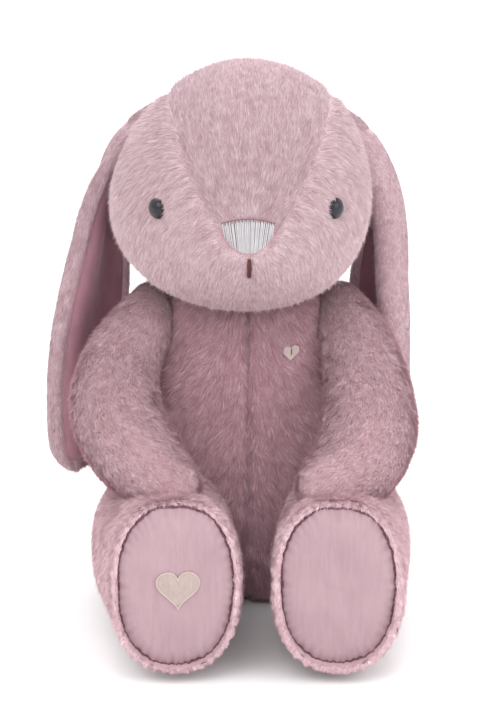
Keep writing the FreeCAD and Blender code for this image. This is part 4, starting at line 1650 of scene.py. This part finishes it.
    def sole_point(self, share: Points, angle: Points) -> Points:
        """The sole's surface: an uneven dome that tucks into its seam in puckers.

        Args:
            share: the share of the sole's radius, 1 on its seam.
            angle: the angle from its +X side, in radians.

        Returns:
            The surface's points.
        """
        wave = self.gathers(angle)
        edge = np.clip((share - 0.78) / 0.22, 0, 1)
        uneven = 0.5 * np.sin(angle * 3 + 0.6) * np.sin(share * 7) + 0.3 * np.sin(angle * 5 + 2.0) * share
        depth = self.dome * (1 - share**2.6) - self.tuck * edge**2 + uneven * (1 - edge)
        depth += 0.6 * wave * edge * (1.2 - 0.6 * edge)
        cut = 0.008 * np.sin(angle * 7 + 1.0) + 0.007 * np.sin(angle * 13 + 2.0) + 0.004 * wave
        full = share * (1 + share**3 * cut) / self.reach(np.cos(angle), np.sin(angle))
        across = np.cos(angle) * full * self.sole_half[0]
        rise = np.sin(angle) * full * self.sole_half[1] + self.sole_rise
        ahead = self.rim - self.dome + depth
        return self.hip + across[:, None] * self.across + ahead[:, None] * self.ahead + rise[:, None] * UP

    def sew_sole(self, body: str, name: str) -> None:
        """The velour sole, its gathering thread, dark as a painted shadow of the puckered seam, and the
        heart on the right one.
        """
        rings, spokes = 34, 240
        angles = np.arange(spokes) / spokes * 2 * math.pi
        shares = 1 - np.linspace(0, 1, rings) ** 1.5 * 0.985
        rows = [self.sole_point(np.full(spokes, 1.0), angles) - self.ahead * 3.0]
        rows += [self.sole_point(np.full(spokes, share), angles) for share in shares]
        sole = place_mesh(f"sole_velour_{name}", np.concatenate(rows), grid_faces(len(rows), spokes))
        clad(sole, SOLE_NAP)
        settle(sole, body, "velour", f"foot_sole_{name}")
        pitch = math.pi / self.puckers
        proud = np.array((0.1, 0.5, 0.5, 0.1))[:, None]
        seam = []
        for number in range(self.puckers * 2):
            arc = (number + np.linspace(0, 0.7, 4)) * pitch
            seam.append(self.sole_point(np.full(4, 0.985), arc) + self.ahead * proud)
        # The dark thread along the seam is painted shadow of its puckers.
        settle(THREAD.sew(f"sole_seam_{name}", seam, 0.6, SEAM_SHADOW), body, "fur")
        if self.side is Side.RIGHT:
            self.sew_heart(body)

    def sew_heart(self, body: str) -> None:
        """The heart on the sole: satin rows inside a heavier border."""
        centre, half = middle("sole_heart_right")
        across, _, rise = (float(value[0]) for value in self.local(centre[None, :]))

        def lay(row: Points, proud: float) -> Points:
            """A row of the heart on the sole, this far above it."""
            x = (across + row[:, 0]) / self.sole_half[0]
            z = (rise + row[:, 1] - self.sole_rise) / self.sole_half[1]
            return self.sole_point(self.reach(x, z), np.arctan2(z, x)) + self.ahead * proud

        cream = CREAM.material()
        lines = [lay(row, 0.35) for row in heart_rows(half[0] * 0.96, 16)]
        settle(THREAD.sew("sole_heart_fill", lines, 0.36, cream), body, "heart_thread", "sole_heart_right")
        border = [lay(heart_edge(half[0], 60), 0.6)]
        settle(THREAD.sew("sole_heart_border", border, 0.5, cream), body, "heart_thread")


def heart_edge(half: float, count: int) -> Points:
    """A heart's outline as a closed line of (across, up) points."""
    turn = np.linspace(-1, 1, count) * math.pi
    lobes = 13 * np.cos(turn) - 5 * np.cos(2 * turn) - 2 * np.cos(3 * turn) - np.cos(4 * turn)
    return half * np.stack([np.sin(turn) ** 3, lobes / 16 - 0.02], axis=1)


@dataclass
class Ear:
    """A lop ear: a folded leaf of pile outside and velour inside, hanging from the head."""

    side: Side
    # Level, centre outward, centre behind the root, size, turn of the lining in degrees.
    rows: tuple = (
        (264.0, 28.0, 6.0, 0.4, 62.0),
        (270.0, 41.0, 4.0, 0.48, 60.0),
        (257.0, 61.0, 2.0, 0.71, 56.0),
        (238.0, 75.0, 2.0, 0.86, 46.0),
        (218.0, 81.0, 2.0, 0.94, 34.0),
        (196.0, 84.5, 2.0, 0.98, 24.0),
        (174.0, 88.0, 1.0, 1.0, 15.0),
        (152.0, 91.5, 0.0, 1.02, 10.0),
        (130.0, 94.0, -1.0, 1.03, 8.0),
        (108.0, 95.5, -2.0, 1.02, 8.0),
        (86.0, 95.5, -3.0, 0.98, 8.0),
        (64.0, 94.0, -4.0, 0.86, 8.0),
    )
    # The fold across the ear: outward and ahead of the centre, from the outer edge to the inner.
    fold: tuple = (
        (15.0, 6.0),
        (11.0, 10.0),
        (4.0, 11.0),
        (-2.0, 6.5),
        (-7.0, -7.0),
        (-15.0, -16.0),
        (-28.0, -18.0),
    )
    thick: float = 3.4
    # Where the lining starts and ends: across the ear, and along it.
    seam: tuple[float, float] = (0.15, 0.93)
    lining_ends: tuple[float, float] = (0.17, 0.965)
    # The lining's cut size before it is folded, in metres.
    lining_flat: tuple[float, float] = (0.040, 0.2)
    comb: Comb = Comb(density=5.8, length=3.7, lift=0.26, stray=0.3, clump=0.35)
    steps: int = 44
    levels: int = 76

    def sheet(self, across: Points, along: Points) -> tuple[Points, Points]:
        """The ear's middle surface.

        Args:
            across: 0 at the outer edge, 1 at the inner.
            along: 0 at the root, 1 at the tip.

        Returns:
            The surface's points and the directions that the lining faces there.
        """
        rows = smoothly(self.rows, along)
        fold = smoothly(self.fold, across)
        step = smoothly(self.fold, across + 0.01) - smoothly(self.fold, across - 0.01)
        close = np.sqrt(np.clip((1 - along) / 0.06, 0.02, 1.0))
        angle = np.radians(rows[:, 4])
        out, ahead = turned(fold, angle).T * rows[:, 3] * close
        ripple = 1.2 * np.sin(along * 17 + across * 3) * np.clip(along * 3, 0, 1)
        x = self.side.sign * (rows[:, 1] + out)
        y = self.root[1] + 4.0 + rows[:, 2] - ahead + ripple
        face = unit(turned(np.stack([-step[:, 1], step[:, 0]], axis=1), angle))
        facing = np.stack([-self.side.sign * face[:, 0], face[:, 1], np.zeros(len(x))], axis=1)
        return np.stack([x, y, rows[:, 0]], axis=1), facing

    def blanket(
        self, name: str, span: tuple[float, float], front: Rule, back: Rule, ends: tuple[float, float]
    ) -> bpy.types.Object:
        """A closed form between two distances from the middle surface.

        Args:
            name: the form's name.
            span: where it starts and ends across the ear.
            front, back: its distance to each side of the middle surface, by the share across.
            ends: where it starts and ends along the ear.

        Returns:
            The form.
        """
        turn = np.arange(self.steps) / self.steps * 2 * math.pi
        share = 0.5 - 0.5 * np.cos(turn)
        across = span[0] + share * (span[1] - span[0])
        offset = np.where(np.sin(turn) >= 0, front(share), back(share))
        rows = []
        for along in np.linspace(*ends, self.levels):
            points, facing = self.sheet(across, np.full(self.steps, along))
            pinch = min(1.0, math.sqrt(max(0.05, (ends[1] - along) / 0.04)))
            rows.append(points + facing * (offset * pinch)[:, None])
        return place_mesh(name, np.concatenate(rows), grid_faces(self.levels, self.steps))

    def leaf_back(self, share: Points) -> Points:
        """How far the leaf's outside stands from its middle surface, by the share across."""
        return -self.thick * np.clip(1 - np.abs(2 * share - 1) ** 5, 0.0, 1.0) ** 0.5

    def leaf_front(self, share: Points) -> Points:
        """How far the leaf's inside stands from its middle surface: sunk where the lining lies."""
        start, stop = self.seam
        return np.where((share > start) & (share < stop), 0.4, -1.0) * self.leaf_back(share)

    def lining_front(self, share: Points) -> Points:
        """How far the lining stands from the middle surface, by the share across."""
        return self.thick * 0.55 * np.clip(1 - np.abs(2 * share - 1) ** 8, 0, 1) ** 0.5

    @staticmethod
    def lining_back(share: Points) -> Points:
        """How far the lining's hidden side stands from the middle surface."""
        return np.full(len(share), -1.6)

    def build(self) -> None:
        """Makes the ear."""
        name = self.side.value
        self.root = pivot(f"ear_lift_{name}")
        body = f"ear_{name}"
        leaf = self.blanket(f"ear_skin_{name}", (0.0, 1.0), self.leaf_front, self.leaf_back, (0.0, 1.0))
        leaf = clad(refine(leaf), BACKING)
        span = (self.seam[0] - 0.03, self.seam[1] + 0.02)
        lining = self.blanket(
            f"ear_lining_velour_{name}", span, self.lining_front, self.lining_back, self.lining_ends
        )
        lining = clad(refine(lining), EAR_NAP)
        search = search_tree(lining.data)

        def from_lining(points: Points) -> Points:
            """How far each point is from the lining."""
            return np.array([(search.find_nearest(Vector(point * MM))[3] or 1.0) / MM for point in points])

        points = points_of(leaf.data)
        middle_line, _ = self.sheet(np.full(40, 0.45), np.linspace(0, 1, 40))
        store(leaf.data, "comb", run_beside(middle_line, points))
        store(leaf.data, "pile", np.clip((from_lining(points) - 0.8) / 2.0, 0.0, 1.0))
        settle(leaf, body, "fur")
        seed = 500 + self.side.sign
        node = f"ear_back_{name}"
        # The ear's back takes the darker copy of the coat, as painted shade.
        pile = PILE.grow(f"pile_{node}", leaf, self.comb, lambda p: from_lining(p) > 1.2, seed, EAR_SHADED_STRANDS)
        settle(pile, body, "fur", node)
        settle(lining, body, "velour", f"ear_lining_{name}")


def turned(pairs: Points, angle: Points) -> Points:
    """Pairs of coordinates turned in their plane by an angle in radians."""
    cos, sin = np.cos(angle), np.sin(angle)
    return np.stack([pairs[:, 0] * cos - pairs[:, 1] * sin, pairs[:, 0] * sin + pairs[:, 1] * cos], axis=1)


# The left ear hangs closer and curls round, so that its front edge hides part of the lining.
LEFT_FOLD = (
    (3.0, 8.0),
    (8.0, 12.0),
    (13.0, 10.0),
    (15.0, 4.0),
    (12.0, -5.0),
    (1.0, -11.0),
    (-17.5, -13.0),
)
LEFT_EAR = (
    (264.0, 28.0, 6.0, 0.4, 62.0),
    (270.0, 40.0, 4.0, 0.48, 60.0),
    (257.0, 57.5, 2.0, 0.71, 56.0),
    (238.0, 67.0, 2.0, 0.86, 46.0),
    (218.0, 71.5, 2.0, 0.94, 34.0),
    (196.0, 73.0, 2.0, 0.98, 24.0),
    (174.0, 72.5, 1.0, 1.0, 15.0),
    (152.0, 73.0, 0.0, 1.02, 10.0),
    (130.0, 73.0, -1.0, 1.03, 8.0),
    (108.0, 73.5, -2.0, 1.0, 8.0),
    (86.0, 74.0, -3.0, 0.94, 8.0),
    (66.0, 74.0, -4.0, 0.82, 8.0),
)


@dataclass
class Studio:
    """A white floor, soft lights all round, and the camera; metres, watts and degrees."""

    target: tuple[float, float, float] = (-0.0033, 0.0443, 0.1284)
    distance: float = 1.8
    elevation: float = 16.0
    field: float = 12.69
    floor_reach: float = 8.0
    sky: float = 1.3
    lit: tuple[float, float, float] = (0.0, 0.04, 0.13)
    lamp_size: float = 1.4
    lamps: tuple = (
        ("key", (-0.6, -1.3, 1.55), 13.5),
        ("fill", (1.3, -0.9, 0.9), 9.0),
        ("back", (0.1, 1.0, 1.7), 11.0),
    )

    def build(self) -> None:
        """Makes the floor, the lights and the camera."""
        self.lay_floor()
        for lamp in self.lamps:
            self.hang(*lamp)
        world = bpy.data.worlds.new("studio")
        bpy.context.scene.world = world
        world.use_nodes = True
        background = world.node_tree.nodes["Background"]
        background.inputs["Color"].default_value = (1.0, 1.0, 1.0, 1.0)
        background.inputs["Strength"].default_value = self.sky
        self.set_camera()
        bpy.context.scene.view_settings.view_transform = "Standard"

    def set_camera(self) -> None:
        """Stands the camera in front of the rabbit, a little above it."""
        target = Vector(self.target)
        camera = bpy.data.cameras.new("camera")
        camera.sensor_fit = "VERTICAL"
        camera.angle = math.radians(self.field)
        viewer = bpy.data.objects.new("camera", camera)
        lean = math.radians(self.elevation)
        viewer.location = target + Vector((0, -math.cos(lean), math.sin(lean))) * self.distance
        viewer.rotation_euler = (target - viewer.location).to_track_quat("-Z", "Y").to_euler()
        bpy.context.scene.collection.objects.link(viewer)
        bpy.context.scene.camera = viewer

    def lay_floor(self) -> None:
        """A wide white floor."""
        mesh = bpy.data.meshes.new("floor")
        reach = self.floor_reach
        corners = [(-reach, -reach, 0), (reach, -reach, 0), (reach, reach, 0), (-reach, reach, 0)]
        mesh.from_pydata(corners, [], [(0, 1, 2, 3)])
        floor = bpy.data.objects.new("floor", mesh)
        bpy.context.scene.collection.objects.link(floor)
        finish = Finish("floor_white", roughness=0.9)
        material, tree, shader = finish.surface("floor_white")
        grain = tree.noise(40.0, 2.0, tree.place())
        finish.wire(tree, shader, "Base Color", tree.blend(grain, (0.93, 0.93, 0.93), (0.95, 0.95, 0.95)))
        mesh.materials.append(material)

    def hang(self, name: str, place: tuple[float, float, float], power: float) -> None:
        """A square light that faces the rabbit."""
        lamp = bpy.data.lights.new(name, "AREA")
        lamp.size = self.lamp_size
        lamp.energy = power
        holder = bpy.data.objects.new(name, lamp)
        holder.location = place
        holder.rotation_euler = (Vector(self.lit) - holder.location).to_track_quat("-Z", "Y").to_euler()
        bpy.context.scene.collection.objects.link(holder)


def main() -> None:
    """Builds the rabbit and its studio."""
    logging.basicConfig(level=logging.INFO, format="%(name)s: %(message)s")
    Head().build()
    Torso().build()
    Arm(Side.RIGHT).build()
    Arm(Side.LEFT, LEFT_ARM).build()
    Leg(Side.RIGHT).build()
    Leg(Side.LEFT, toe_in=2.3, slim=2.6, spread=3.0, sole_half=(29.6, 42.8), sole_rise=18.4).build()
    Ear(Side.RIGHT, seam=(0.27, 0.93)).build()
    Ear(Side.LEFT, LEFT_EAR, LEFT_FOLD, seam=(0.2, 0.93)).build()
    Studio().build()


if __name__ == "__main__":
    main()
